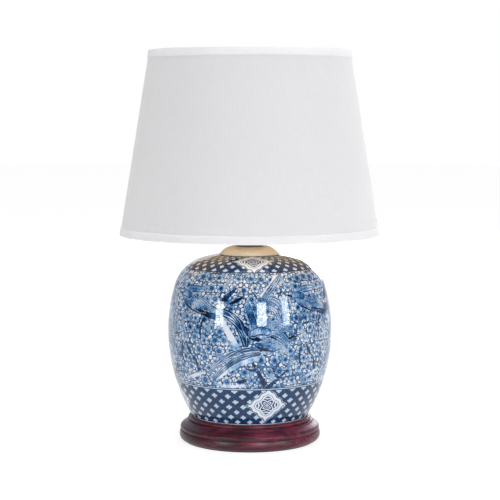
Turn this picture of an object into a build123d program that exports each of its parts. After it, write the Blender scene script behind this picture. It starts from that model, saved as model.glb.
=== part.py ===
"""Ginger jar table lamp: a decorated porcelain jar on a turned wooden base, with a linen drum shade.

The jar, its base and the lampholder are one stack, clamped by a hollow threaded rod that runs
up the lamp's axis.  The shade's wire fitter sits on the lampholder's shoulder under a screw ring.

Millimetres.  The axis of the lamp is Z, the table is at Z = 0, and the cord leaves towards +Y,
so the front of the lamp looks along -Y.
"""

from build123d import *
from math import asin, cos, degrees, radians
import os

# --- felt pad and turned wooden base --------------------------------------------------------
felt_thick = 1.5
felt_inset = 2.4            # from the base's foot to the edge of the felt
torus_radius = 82.3         # widest ring of the base
foot_step = 2.9             # from there in to the edge that meets the felt
torus_height = 11.0
groove_depth = 1.2          # of the two narrow grooves
groove_height = 1.3
fillet_step = 1.1           # from the widest ring in to the narrow flat band over the groove
fillet_height = 2.6
cyma_height = 8.0           # the S-curved slope
cyma_lean = 0.25            # slope inwards at both ends of the S-curve
cyma_step = 1.4             # from the bead out to the top of the S-curve
bead_groove_height = 0.8
bead_step = 2.3             # the bead stands out this far from the ring of wood above it
bead_height = 4.0
base_lip = 1.4              # ring of wood that shows round the jar's foot
base_web = 16.5             # wood left above the hollow underside
recess_radius = 57.0

# --- cord inlet -----------------------------------------------------------------------------
cord_bore_radius = 3.5
bushing_wall = 1.2
bushing_flange_radius = 6.6
bushing_flange_thick = 1.6
bushing_set_in = 1.0        # its flange lies this far inside the widest ring
cord_hole_rise = 5.6        # axis of the cord hole above the felt

# --- hollow threaded rod, nut and washer ----------------------------------------------------
rod_radius = 5.0
rod_bore_radius = 3.6
thread_clearance = 0.05
drill_clearance = 0.4
nut_across_flats = 17.0
nut_height = 4.0
washer_radius = 15.0
washer_thick = 1.8
rod_tail = 2.2              # rod that stands out below the nut

# --- porcelain jar --------------------------------------------------------------------------
seat_ring_thick = 0.5
seat_ring_width = 6.0
jar_foot_radius = 68.1
jar_foot_width = 7.0        # of the ring the jar stands on
jar_foot_depth = 3.0
jar_wall = 5.0
jar_belly_radius = 95.4
jar_belly_rise = 99.5      # from the foot up to the widest ring
jar_upper_curve = 184.0     # radii of the three arcs above the widest ring
jar_shoulder_curve = 47.0
jar_crown_curve = 137.5
jar_upper_turn = 16.4       # degrees that the first two arcs turn; the crown arc turns the rest
jar_shoulder_turn = 58.4
jar_mouth_radius = 21.5
jar_drill_radius = 7.0

# --- centring plug and metal vase cap -------------------------------------------------------
plug_clearance = 0.4
plug_depth = 7.0
plug_flange_radius = 28.0
plug_flange_thick = 1.4
cap_radius = 35.0
cap_rise = 9.8              # from its rim to its flat top
cap_flat_radius = 17.8
cap_sheet = 0.9
cap_rim_thick = 1.7

# --- lampholder -----------------------------------------------------------------------------
holder_foot_radius = 17.0
holder_foot_height = 3.5
holder_flare_height = 7.0
holder_radius = 20.0
holder_cap_height = 22.0
holder_wall = 2.0
holder_boss_radius = 8.2
holder_boss_height = 9.0
rod_engagement = 8.0
spigot_height = 3.0
spigot_clearance = 0.1
body_ledge = 2.6            # the core rests on it
body_lower_height = 15.0    # from the cap to the top of the shoulder
shoulder_radius = 24.0
shoulder_thick = 2.6
thread_step = 0.4           # the shade ring's thread is this much thinner than the body
body_thread_height = 23.0
core_thick = 6.0
core_clearance = 0.1
shell_radius = 14.0
shell_sheet = 0.4
shell_height = 21.0
shell_flange = 1.6
contact_width = 6.0
contact_sheet = 0.5
contact_rise = 1.6          # free height of the sprung tongue
terminal_radius = 2.0
terminal_head = 1.6
terminal_offset = 9.5
grub_radius = 1.5
grub_length = 7.0
grub_clearance = 0.05

# --- push-bar switch ------------------------------------------------------------------------
bar_radius = 2.6
bar_length = 53.0
bar_travel = 5.0
bar_clearance = 0.08
bar_rise = 15.8             # above the bottom of the lampholder
bar_cam_length = 9.0
bar_cam_height = 3.4

# --- shade ring, on the lampholder's thread -------------------------------------------------
ring_radius = 28.0
ring_height = 8.6
ring_flange_thick = 2.2
ring_clearance = 0.08
ring_grips = 24
ring_grip_radius = 1.3
ring_gap = 0.1              # to the fitter under it

# --- shade frame ----------------------------------------------------------------------------
shade_bottom_radius = 150.0
shade_top_radius = 115.4
shade_height = 211.6
shade_drop = 23.5           # from the fitter's seat down to the shade's lower edge
liner_thick = 0.5
linen_thick = 0.5
wire_radius = 1.5
weld_sink = 0.3
hub_width = 12.5
hub_thick = 1.2
hub_clearance = 0.5
arm_count = 3
arm_flat = 9.0              # level stretch of each arm that is welded to the hub
arm_bend = 8.0
arm_first_angle = 90.0

# --- rolled hems and seam -------------------------------------------------------------------
hem_thick = 0.8
hem_height = 9.0
hem_turn_in = 3.0           # height of the hem inside the shade
hem_round = 1.7
hem_clearance = 0.1
seam_width = 16.0
seam_thick = 0.5

# --- bulb -----------------------------------------------------------------------------------
bulb_gap = 0.1              # from the tongue to the bulb's contact
bulb_contact_radius = 4.8
bulb_contact_height = 1.4
bulb_insulator_height = 3.6
bulb_insulator_radius = 10.2
bulb_cap_radius = 13.2
bulb_cap_height = 18.5
bulb_cap_sheet = 0.5
bulb_collar_radius = 14.2
bulb_housing_radius = 28.6
bulb_housing_height = 37.0
bulb_globe_radius = 30.0
bulb_globe_wall = 1.2
bulb_board_radius = 22.0
bulb_board_thick = 1.6
bulb_led_count = 10
bulb_led_size = 2.8
bulb_led_height = 0.7

# --- heights of the stack, all from the table -----------------------------------------------
torus_low = felt_thick
groove_low = torus_low + torus_height
fillet_low = groove_low + groove_height
cyma_low = fillet_low + fillet_height
bead_groove_low = cyma_low + cyma_height
bead_low = bead_groove_low + bead_groove_height
base_top = bead_low + bead_height
foot_radius = torus_radius - foot_step
fillet_radius = torus_radius - fillet_step
base_lip_radius = jar_foot_radius + base_lip
bead_radius = base_lip_radius + bead_step
cyma_top_radius = bead_radius + cyma_step
recess_top = base_top - base_web
washer_low = recess_top - washer_thick
nut_low = washer_low - nut_height
rod_low = nut_low - rod_tail
jar_low = base_top + seat_ring_thick
jar_draw_in = jar_belly_radius - jar_foot_radius
jar_lower_curve = (jar_draw_in**2 + jar_belly_rise**2) / (2 * jar_draw_in)
jar_lower_turn = degrees(asin(jar_belly_rise / jar_lower_curve))
cord_height = felt_thick + cord_hole_rise


def turned(*edges):
    """A solid of revolution from a closed outline drawn in radius and height."""
    return revolve(Plane.XZ * make_face(edges), Axis.Z)


def disc(radius, low, high):
    """A round plate about the lamp's axis."""
    return Pos(0, 0, low) * Cylinder(radius, high - low, align=(Align.CENTER, Align.CENTER, Align.MIN))


def tube(outer, inner, low, high):
    """A round ring about the lamp's axis."""
    return disc(outer, low, high) - disc(inner, low, high)


def round_the_axis(count, shape):
    """Copies of a shape at equal angles about the lamp's axis."""
    return [Rot(0, 0, 360 * i / count) * shape for i in range(count)]


# --- outlines that several pieces share -----------------------------------------------------
def jar_outline(inset=0):
    """Half of the jar's outside from foot to crown, or the same line this far inside it.

    Four arcs, tangent to each other: they stand upright at the widest ring and end level.
    """
    belly = (jar_belly_radius - inset, jar_low + jar_belly_rise)
    lower = JernArc(belly, (0, -1), jar_lower_curve - inset, -jar_lower_turn)
    upper = JernArc(belly, (0, 1), jar_upper_curve - inset, jar_upper_turn)
    shoulder = JernArc(upper @ 1, upper % 1, jar_shoulder_curve - inset, jar_shoulder_turn)
    crown_turn = 90 - jar_upper_turn - jar_shoulder_turn
    crown = JernArc(shoulder @ 1, shoulder % 1, jar_crown_curve - inset, crown_turn)
    return lower, upper, shoulder, crown


def jar_half(inset=0):
    """The face between that outline and the lamp's axis."""
    arcs = jar_outline(inset)
    top, bottom = arcs[3] @ 1, arcs[0] @ 1
    return make_face([*arcs, Polyline(top, (0, top.Y), (0, bottom.Y), bottom)])


crown_arc = jar_outline()[3]
jar_top = (crown_arc @ 1).Y
cap_seat_radius = cap_radius - cap_rim_thick
crown_sag = jar_crown_curve - (jar_crown_curve**2 - (cap_seat_radius - (crown_arc @ 1).X) ** 2) ** 0.5
cap_low = jar_top - crown_sag
cap_top = cap_low + cap_rise
holder_low = cap_top
rod_high = holder_low + rod_engagement
holder_cap_top = holder_low + holder_cap_height
bar_height = holder_low + bar_rise
core_low = holder_cap_top
core_top = core_low + core_thick
seat_height = holder_cap_top + body_lower_height
body_top = seat_height + body_thread_height
hub_top = seat_height + hub_thick
shade_low = seat_height - shade_drop
shade_top = shade_low + shade_height
bulb_low = core_top + contact_rise + bulb_gap
bulb_cap_low = bulb_low + bulb_contact_height + bulb_insulator_height
bulb_collar_low = bulb_cap_low + bulb_cap_height
bulb_edge = bulb_collar_low + bulb_housing_height
body_bore_radius = holder_radius - holder_wall - 0.8
thread_radius = holder_radius - thread_step


def shade_radius(height):
    """Outside radius of the linen cone at a height above the table."""
    share = (height - shade_low) / shade_height
    return shade_bottom_radius + (shade_top_radius - shade_bottom_radius) * share


def cone_layer(outer_offset, thick, low, high):
    """A thin conical sheet, parallel to the shade's outside."""
    return turned(
        Polyline(
            (shade_radius(low) + outer_offset, low),
            (shade_radius(high) + outer_offset, high),
            (shade_radius(high) + outer_offset - thick, high),
            (shade_radius(low) + outer_offset - thick, low),
            close=True,
        )
    )


# --- the base -------------------------------------------------------------------------------
def felt_pad():
    return disc(foot_radius - felt_inset, 0, felt_thick)


def wood_base():
    """Turned base: torus, groove, fillet, cyma and bead, hollow below, drilled for rod and cord."""
    widest = (torus_radius, torus_low + torus_height / 2)
    torus_lower = TangentArc(widest, (foot_radius, torus_low), tangent=(0, -1))
    torus_upper = TangentArc(widest, (fillet_radius, groove_low), tangent=(0, 1))
    groove = Polyline(
        torus_upper @ 1,
        (fillet_radius - groove_depth, groove_low),
        (fillet_radius - groove_depth, fillet_low),
        (fillet_radius, fillet_low),
        (fillet_radius, cyma_low),
    )
    cyma = Spline(
        groove @ 1, (cyma_top_radius, bead_groove_low), tangents=((-cyma_lean, 1), (-cyma_lean, 1))
    )
    bead_groove = Polyline(
        cyma @ 1,
        (bead_radius - groove_depth, bead_groove_low),
        (bead_radius - groove_depth, bead_low),
    )
    bead_widest = (bead_radius, bead_low + bead_height * 0.4)
    bead_lower = TangentArc(bead_widest, bead_groove @ 1, tangent=(0, -1))
    bead_upper = TangentArc(bead_widest, (base_lip_radius, base_top), tangent=(0, 1))
    hollow = Polyline(
        bead_upper @ 1, (0, base_top), (0, recess_top), (recess_radius, recess_top),
        (recess_radius, torus_low), torus_lower @ 1,
    )
    body = turned(
        torus_lower, torus_upper, groove, cyma, bead_groove, bead_lower, bead_upper, hollow
    )
    body -= disc(rod_radius + drill_clearance, recess_top, base_top)
    hole_radius = cord_bore_radius + bushing_wall
    body -= cord_axis_cylinder(hole_radius, 0, 2 * torus_radius)
    body -= cord_axis_cylinder(bushing_flange_radius, bushing_seat(), 2 * torus_radius)
    return body


def bushing_seat():
    """Distance from the lamp's axis to the flat that is cut for the bushing's flange."""
    return torus_radius - bushing_flange_thick - bushing_set_in


def cord_axis_cylinder(radius, near, far):
    """A cylinder on the axis of the cord hole, between two distances from the lamp's axis."""
    plane = Plane(origin=(0, near, cord_height), z_dir=(0, 1, 0))
    return plane * Cylinder(radius, far - near, align=(Align.CENTER, Align.CENTER, Align.MIN))


def cord_bushing():
    """Flanged tube that guards the cord where it leaves the wood at the back."""
    seat = bushing_seat()
    outer = cord_axis_cylinder(cord_bore_radius + bushing_wall, recess_radius - 1.0, seat)
    flange = cord_axis_cylinder(bushing_flange_radius - 0.2, seat, seat + bushing_flange_thick)
    rim = flange.faces().sort_by(Axis.Y)[-1].edges()
    flange = fillet(rim, bushing_flange_thick / 2)
    bore = cord_axis_cylinder(cord_bore_radius, recess_radius - 2.0, torus_radius)
    return outer + flange - bore


def base_washer():
    return tube(washer_radius, rod_radius + drill_clearance, washer_low, recess_top)


def base_nut():
    """Thin hexagon nut, its top corners turned to a cone."""
    across_corners = nut_across_flats / cos(radians(30)) / 2
    hexagon = extrude(Pos(0, 0, nut_low) * RegularPolygon(across_corners, 6), nut_height)
    chamfered = fillet_free_cone(nut_across_flats / 2, across_corners, nut_low, nut_height)
    return (hexagon & chamfered) - disc(rod_radius + thread_clearance, nut_low, washer_low)


def fillet_free_cone(flat_radius, corner_radius, low, height):
    """A turned blank whose lower edge is chamfered from the corners to the flats."""
    chamfer_rise = (corner_radius - flat_radius) * 0.6
    return turned(
        Polyline(
            (0, low), (flat_radius, low), (corner_radius, low + chamfer_rise),
            (corner_radius, low + height), (0, low + height), close=True,
        )
    )


def threaded_rod():
    return tube(rod_radius, rod_bore_radius, rod_low, rod_high)


# --- the jar --------------------------------------------------------------------------------
def jar_seat_ring():
    """Cork ring between the wood and the jar's unglazed foot."""
    outer = jar_foot_radius - 0.5
    return tube(outer, outer - seat_ring_width, base_top, jar_low)


def jar():
    """Porcelain shell of even wall, with a foot ring, a drilled bottom and an open mouth."""
    floor_top = jar_low + jar_foot_depth + jar_wall
    above_floor = Pos(0, floor_top) * Rectangle(
        2 * jar_belly_radius, jar_top, align=(Align.CENTER, Align.MIN)
    )
    section = jar_half() - (jar_half(jar_wall) & above_floor)
    section -= Pos(0, jar_top) * Rectangle(2 * jar_mouth_radius, 4 * jar_wall)
    section -= Pos(0, jar_low) * Rectangle(2 * (jar_foot_radius - jar_foot_width), 2 * jar_foot_depth)
    section -= Pos(0, jar_low) * Rectangle(2 * jar_drill_radius, 2 * floor_top)
    return revolve(Plane.XZ * section, Axis.Z)


def jar_plug():
    """Disc that centres the rod in the jar's mouth, with a flange on the crown."""
    plug_radius = jar_mouth_radius - plug_clearance
    body = disc(plug_radius, jar_top - plug_depth, jar_top)
    flange = disc(plug_flange_radius, jar_top, jar_top + plug_flange_thick)
    return body + flange - disc(rod_radius + drill_clearance, 0, cap_top)


def quarter_oval(low_end, high_end):
    """A quarter of an oval that starts upright at its low, outer end and ends level."""
    round_share = 0.5523
    across = (low_end[0] - high_end[0]) * round_share
    up = (high_end[1] - low_end[1]) * round_share
    return Bezier(low_end, (low_end[0], low_end[1] + up), (high_end[0] + across, high_end[1]), high_end)


def vase_cap():
    """Spun metal dome with a rolled rim, from the jar's crown up to the lampholder."""
    roll = cap_rim_thick / 2
    shoulder = (cap_radius - roll, cap_low + cap_rim_thick)
    flat = (cap_flat_radius, cap_top)
    dome = quarter_oval(shoulder, flat)
    inner = quarter_oval((shoulder[0] - cap_sheet, shoulder[1]), (cap_flat_radius, cap_top - cap_sheet))
    seat = Line((cap_seat_radius, cap_low), (cap_radius - roll, cap_low))
    rim = ThreePointArc(seat @ 1, (cap_radius, cap_low + roll), shoulder)
    hole = rod_radius + drill_clearance
    top = Polyline(flat, (hole, cap_top), (hole, cap_top - cap_sheet), inner @ 1)
    inside = Line(inner @ 0, seat @ 0)
    return turned(seat, rim, dome, top, inner, inside)


# --- the lampholder -------------------------------------------------------------------------
def holder_cap():
    """Moulded lower half: a flared cup with a threaded boss, cross-drilled for the switch bar."""
    foot_top = holder_low + holder_foot_height
    flare_top = foot_top + holder_flare_height
    inner = holder_radius - holder_wall
    flare = Spline(
        (holder_foot_radius, foot_top), (holder_radius, flare_top), tangents=((0, 1), (0, 1))
    )
    outside = turned(
        Polyline((0, holder_low), (holder_foot_radius, holder_low), flare @ 0),
        flare,
        Polyline(flare @ 1, (holder_radius, holder_cap_top), (0, holder_cap_top), (0, holder_low)),
    )
    hollow = turned(
        Polyline(
            (0, holder_low + holder_wall), (holder_foot_radius - holder_wall, holder_low + holder_wall),
            (holder_foot_radius - holder_wall, foot_top), (inner, flare_top),
            (inner, holder_cap_top), (0, holder_cap_top), close=True,
        )
    )
    cup = outside - hollow + disc(holder_boss_radius, holder_low, holder_low + holder_boss_height)
    cup -= disc(rod_radius + thread_clearance, holder_low, holder_cap_top)
    cup -= bar_cylinder(bar_radius + bar_clearance, -2 * holder_radius, 2 * holder_radius)
    cup -= grub_cylinder(grub_radius + grub_clearance, 2 * holder_radius)
    return cup


def grub_cylinder(radius, length):
    """A cylinder square to the rod, from just off its side towards the front."""
    height = holder_low + rod_engagement / 2 + 0.6
    plane = Plane(origin=(0, -rod_radius - 0.1, height), z_dir=(0, -1, 0))
    return plane * Cylinder(radius, length, align=(Align.CENTER, Align.CENTER, Align.MIN))


def holder_grub_screw():
    """Slotted set screw that stops the lampholder from turning on the rod."""
    screw = grub_cylinder(grub_radius, grub_length)
    end = Pos(0, -rod_radius - 0.1 - grub_length, holder_low + rod_engagement / 2 + 0.6)
    return screw - end * Box(2.5 * grub_radius, 1.6, 0.5)


def holder_body():
    """Upper sleeve: a spigot in the cup, a shoulder for the fitter, and the shade ring's thread."""
    lower = tube(holder_radius, body_bore_radius, core_low, seat_height)
    shoulder = tube(shoulder_radius, body_bore_radius, seat_height - shoulder_thick, seat_height)
    threaded = tube(thread_radius, body_bore_radius, seat_height, body_top)
    spigot_radius = holder_radius - holder_wall - spigot_clearance
    spigot = tube(spigot_radius, body_bore_radius - body_ledge, core_low - spigot_height, core_low)
    return lower + shoulder + threaded + spigot


def holder_core():
    """Ceramic insert that carries the contacts, resting on the sleeve's inner ledge."""
    block = disc(body_bore_radius - core_clearance, core_low, core_top)
    block -= disc(bar_radius, core_low, core_low + core_thick / 3)
    for place in terminal_places():
        block -= place * Cylinder(terminal_radius + 0.1, 2 * terminal_head + 4)
    return block


def screw_shell():
    """Threaded contact sleeve for the bulb, drawn smooth, with a flange on the core."""
    outer = shell_radius + shell_sheet
    wall = tube(outer, shell_radius, core_top, core_top + shell_height)
    flange = tube(shell_radius, shell_radius - shell_flange, core_top, core_top + shell_sheet)
    return wall + flange


def centre_contact():
    """Sprung tongue: riveted at one end and raised in the middle, under the bulb."""
    tongue = Polyline(
        (-7.5, core_top), (-3.5, core_top), (-1.5, core_top + contact_rise - contact_sheet),
        (4.0, core_top + contact_rise - contact_sheet), (4.0, core_top + contact_rise),
        (-1.8, core_top + contact_rise), (-3.7, core_top + contact_sheet),
        (-7.5, core_top + contact_sheet), close=True,
    )
    return extrude(Plane.XZ * make_face(tongue), contact_width / 2, both=True)


def terminal_places():
    """Where the two terminal screws sit, in the underside of the core."""
    return [Pos(0, side * terminal_offset, core_low) for side in (-1, 1)]


def terminal_screws():
    """Two cheese-head screws with a slot, set up into the core from below."""
    head = Cylinder(terminal_radius, terminal_head, align=(Align.CENTER, Align.CENTER, Align.MIN))
    shank = Pos(0, 0, terminal_head) * Cylinder(
        terminal_radius * 0.6, 2.0, align=(Align.CENTER, Align.CENTER, Align.MIN)
    )
    screw = head + shank - Box(3 * terminal_radius, 0.6, 0.9)
    return Compound(children=[place * screw for place in terminal_places()])


def bar_cylinder(radius, near, far):
    """A cylinder on the axis of the switch bar, between two places along X."""
    plane = Plane(origin=(near, 0, bar_height), z_dir=(1, 0, 0))
    return plane * Cylinder(radius, far - near, align=(Align.CENTER, Align.CENTER, Align.MIN))


def switch_bar():
    """Push-through bar: stands out more on the left at rest, with domed ends and a middle cam."""
    middle = -bar_travel / 2
    bar = bar_cylinder(bar_radius, middle - bar_length / 2, middle + bar_length / 2)
    ends = bar.edges().filter_by(GeomType.CIRCLE)
    bar = fillet(ends, bar_radius * 0.6)
    cam = Pos(middle, 0, bar_height) * Box(bar_cam_length, 2 * bar_cam_height, bar_cam_height)
    return bar + cam


def shade_ring():
    """Screw ring: a flange with finger grips under a narrower threaded collar."""
    low = hub_top + ring_gap
    bore = thread_radius + ring_clearance
    flange = tube(ring_radius, bore, low, low + ring_height)
    grip = Pos(ring_radius + 0.5, 0, low) * Cylinder(
        ring_grip_radius, ring_height, align=(Align.CENTER, Align.CENTER, Align.MIN)
    )
    for cutter in round_the_axis(ring_grips, grip):
        flange -= cutter
    top_step = tube(
        2 * ring_radius, (ring_radius + bore) / 2, low + ring_flange_thick * 3, low + ring_height
    )
    return flange - top_step


# --- the shade ------------------------------------------------------------------------------
def ring_wire_radius(height):
    """Radius of a ring wire's centre line, so that it lies against the liner."""
    return shade_radius(height) - linen_thick - liner_thick - wire_radius - hem_clearance


bottom_wire_height = shade_low + hem_thick + hem_clearance + wire_radius
top_wire_height = shade_top - hem_thick - hem_clearance - wire_radius


def ring_wire(height):
    return Pos(0, 0, height) * Torus(ring_wire_radius(height), wire_radius)


def spider_hub():
    """Flat fitter ring that sits on the lampholder's shoulder."""
    inner = thread_radius + hub_clearance
    return tube(inner + hub_width, inner, seat_height, hub_top)


def spider_arm(index):
    """One wire arm, level on the hub and then straight down to the bottom ring."""
    start = ring_radius + 1.0
    level = hub_top + wire_radius - weld_sink
    end_height = bottom_wire_height + 2 * wire_radius - weld_sink
    route = FilletPolyline(
        (start, 0, level),
        (start + arm_flat, 0, level),
        (ring_wire_radius(bottom_wire_height), 0, end_height),
        radius=arm_bend,
    )
    section = Plane(origin=route @ 0, z_dir=route % 0) * Circle(wire_radius)
    arm = sweep(section, route)
    return Rot(0, 0, arm_first_angle + 360 * index / arm_count) * arm


def sheet_ends():
    """Heights where the liner and the linen end, inside the two hems."""
    inset = hem_round + hem_clearance
    return shade_low + inset, shade_top - inset


def shade_liner():
    """Stiff laminated lining inside the linen."""
    return cone_layer(-linen_thick, liner_thick, *sheet_ends())


def shade_linen():
    """The linen cover."""
    return cone_layer(0, linen_thick, *sheet_ends())


def hem(edge, sign):
    """A strip of linen rolled over a ring wire.

    edge is the height of the shade's rim, and sign is +1 where the hem rises from it (bottom)
    and -1 where it hangs from it (top).
    """
    over = edge + sign * hem_height
    inside_end = edge + sign * hem_turn_in
    wire_height = edge + sign * (hem_thick + hem_clearance + wire_radius)
    inner = ring_wire_radius(wire_height) - wire_radius - hem_clearance

    def band(offset_out, rim, outer_end, inner_end, corner):
        """Face between the outside line and the inside line, round at the rim."""
        outline = make_face(
            Polyline(
                (shade_radius(outer_end) + offset_out, outer_end),
                (shade_radius(rim) + offset_out, rim),
                (inner - offset_out, rim),
                (inner - offset_out, inner_end),
                close=True,
            )
        )
        rims = [v for v in outline.vertices() if abs(v.Y - rim) < 0.01]
        return fillet(rims, corner)

    whole = band(hem_thick, edge, over, inside_end, hem_round)
    reach = sign * 2 * hem_height
    space = band(
        hem_clearance / 10, edge + sign * hem_thick, edge + reach, edge + reach, hem_round - hem_thick
    )
    return revolve(Plane.XZ * (whole - space), Axis.Z)


def shade_seam():
    """Overlap of the linen, glued down the back of the shade from hem to hem."""
    low = shade_low + hem_height + 0.3
    high = shade_top - hem_height - 0.3
    angle = degrees(seam_width / shade_bottom_radius)
    section = make_face(
        Polyline(
            (shade_radius(low), low), (shade_radius(high), high),
            (shade_radius(high) + seam_thick, high), (shade_radius(low) + seam_thick, low),
            close=True,
        )
    )
    strip = revolve(Plane.XZ * section, Axis.Z, angle)
    return Rot(0, 0, 90 - angle / 2) * strip


# --- the bulb -------------------------------------------------------------------------------
def bulb_contact():
    low = bulb_low
    button = disc(bulb_contact_radius, low, low + bulb_contact_height)
    return fillet(button.edges().group_by(Axis.Z)[0], bulb_contact_height / 3)


def bulb_insulator():
    """Black glass cone between the contact and the screw cap."""
    low = bulb_low + bulb_contact_height
    return turned(
        Polyline(
            (0, low), (bulb_contact_radius + 0.8, low), (bulb_insulator_radius, bulb_cap_low),
            (0, bulb_cap_low), close=True,
        )
    )


def bulb_cap():
    """Screw cap, drawn smooth: a thin cup that narrows onto the insulator."""
    inner = bulb_cap_radius - bulb_cap_sheet
    shoulder = bulb_cap_low + (bulb_cap_radius - bulb_insulator_radius) * 0.6
    outside = turned(
        Polyline(
            (0, bulb_cap_low), (bulb_insulator_radius, bulb_cap_low), (bulb_cap_radius, shoulder),
            (bulb_cap_radius, bulb_collar_low), (0, bulb_collar_low), close=True,
        )
    )
    return outside - disc(inner, shoulder, bulb_collar_low)


def bulb_housing():
    """Moulded body: a narrow collar that swells in an S-curve to the globe's edge."""
    collar_top = bulb_collar_low + 4.0
    swell = Spline(
        (bulb_collar_radius, collar_top), (bulb_housing_radius, bulb_edge),
        tangents=((0, 1), (0.55, 1)),
    )
    outline = Polyline((0, bulb_collar_low), (bulb_collar_radius, bulb_collar_low), swell @ 0)
    closing = Polyline(swell @ 1, (0, bulb_edge), (0, bulb_collar_low))
    body = turned(outline, swell, closing)
    return body - disc(bulb_board_radius + 0.3, bulb_edge - bulb_board_thick, bulb_edge)


def bulb_globe():
    """Opal globe: a hollow ball cut off flat where it meets the housing."""
    centre = Pos(0, 0, bulb_edge + globe_rise())
    ball = centre * Sphere(bulb_globe_radius) - centre * Sphere(bulb_globe_radius - bulb_globe_wall)
    above = Pos(0, 0, bulb_edge) * Box(
        4 * bulb_globe_radius, 4 * bulb_globe_radius, 4 * bulb_globe_radius,
        align=(Align.CENTER, Align.CENTER, Align.MIN),
    )
    return ball & above


def globe_rise():
    """Centre of the globe above its edge, so that globe and housing meet in one outline."""
    return (bulb_globe_radius**2 - bulb_housing_radius**2) ** 0.5


def bulb_board():
    """Round circuit board with a ring of light-emitting chips."""
    board = disc(bulb_board_radius, bulb_edge - bulb_board_thick, bulb_edge)
    chip = Pos(bulb_board_radius * 0.7, 0, bulb_edge) * Box(
        bulb_led_size, bulb_led_size, bulb_led_height,
        align=(Align.CENTER, Align.CENTER, Align.MIN),
    )
    for led in round_the_axis(bulb_led_count, chip):
        board += led
    return board


pieces = {
    "felt_pad": felt_pad(),
    "wood_base": wood_base(),
    "cord_bushing": cord_bushing(),
    "base_washer": base_washer(),
    "base_nut": base_nut(),
    "threaded_rod": threaded_rod(),
    "jar_seat_ring": jar_seat_ring(),
    "jar": jar(),
    "jar_plug": jar_plug(),
    "vase_cap": vase_cap(),
    "holder_cap": holder_cap(),
    "holder_grub_screw": holder_grub_screw(),
    "holder_body": holder_body(),
    "holder_core": holder_core(),
    "screw_shell": screw_shell(),
    "centre_contact": centre_contact(),
    "terminal_screws": terminal_screws(),
    "switch_bar": switch_bar(),
    "shade_ring": shade_ring(),
    "spider_hub": spider_hub(),
    "bottom_ring": ring_wire(bottom_wire_height),
    "top_ring": ring_wire(top_wire_height),
    "shade_liner": shade_liner(),
    "shade_linen": shade_linen(),
    "bottom_hem": hem(shade_low, 1),
    "top_hem": hem(shade_top, -1),
    "shade_seam": shade_seam(),
    "bulb_contact": bulb_contact(),
    "bulb_insulator": bulb_insulator(),
    "bulb_cap": bulb_cap(),
    "bulb_housing": bulb_housing(),
    "bulb_globe": bulb_globe(),
    "bulb_board": bulb_board(),
}
for number in range(arm_count):
    pieces[f"spider_arm_{number + 1}"] = spider_arm(number)

os.makedirs("parts", exist_ok=True)
for name, shape in pieces.items():
    shape.label = name
    export_step(shape, f"parts/{name}.step")

heights = {
    "jar foot": jar_low,
    "jar crown": jar_top,
    "lampholder": holder_low,
    "fitter seat": seat_height,
    "bulb contact": bulb_low,
    "bulb top": bulb_edge + globe_rise() + bulb_globe_radius,
    "shade bottom": shade_low,
    "shade top": shade_top,
    "cord inlet": cord_height,
}
for place, height in heights.items():
    print(f"{place}: {height:.2f} mm above the table")
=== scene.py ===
# %% [markdown]
# # A ginger jar table lamp
# The real lamp is a stack on one hollow threaded rod: a felt pad, a turned wooden base, a
# porcelain jar, a spun metal cap and a lampholder.  A linen shade on a wire fitter hangs from
# the lampholder.  The CAD model gives every piece its place and size.  This lesson gives the
# pieces their finish, and draws anew those whose look needs more than the CAD solid has.

# %% The frame
import bmesh
from functools import partial
from math import comb, pi, radians
import bpy
import numpy as np
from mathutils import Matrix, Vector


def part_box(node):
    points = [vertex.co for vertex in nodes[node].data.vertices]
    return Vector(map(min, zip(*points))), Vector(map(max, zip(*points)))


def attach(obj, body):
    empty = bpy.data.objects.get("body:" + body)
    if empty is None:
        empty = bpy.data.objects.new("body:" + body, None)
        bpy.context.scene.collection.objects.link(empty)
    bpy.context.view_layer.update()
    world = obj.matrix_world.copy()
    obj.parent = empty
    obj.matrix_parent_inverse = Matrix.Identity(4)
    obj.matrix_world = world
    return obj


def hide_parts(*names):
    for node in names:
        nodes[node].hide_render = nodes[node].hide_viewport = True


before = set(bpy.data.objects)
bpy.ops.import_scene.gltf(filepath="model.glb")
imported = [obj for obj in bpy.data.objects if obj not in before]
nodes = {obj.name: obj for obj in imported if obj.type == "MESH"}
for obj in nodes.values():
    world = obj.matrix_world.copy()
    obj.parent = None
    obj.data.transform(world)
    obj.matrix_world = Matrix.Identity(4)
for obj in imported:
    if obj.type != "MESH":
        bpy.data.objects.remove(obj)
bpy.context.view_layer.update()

# %% [markdown]
# ## Outlines
# Nearly every piece of a lamp is round, so most shapes start as an outline of radius and height
# in millimetres.  A circle's arc could be drawn with Blender's curves, but worked out in
# numbers it can run on exactly from the arc before, which gives the porcelain its smooth sweep.


# %% Outline helpers
def arc(start, heading, radius, turn, steps=24):
    """Points along a circle's arc that turns left by so many degrees, or right if negative.

    The centre lies one radius to the side of the start, and every point is the centre plus the
    radius, swung by an even share of the turn.
    """
    start, heading, side = np.array(start, float), np.radians(heading), np.sign(turn)
    centre = start + side * radius * np.array([-np.sin(heading), np.cos(heading)])
    swing = heading - side * pi / 2 + np.radians(np.linspace(0, turn, steps))
    return centre + radius * np.stack([np.cos(swing), np.sin(swing)], axis=1)


def evenly(points, spacing):
    """The same line with points at even distances along it."""
    along = np.r_[0, np.cumsum(np.linalg.norm(np.diff(points, axis=0), axis=1))]
    wanted = np.linspace(0, along[-1], max(2, round(along[-1] / spacing)) + 1)
    return np.stack([np.interp(wanted, along, axis) for axis in points.T], axis=1)


# %% [markdown]
# ## From outlines to surfaces
# A surface is a grid of points: row by row along the outline, and column by column round the
# axis.  Whole arrays are worked out at once and handed to the mesh.  The faces that join row
# and column neighbours all turn the same way, so that they point outwards.


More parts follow.
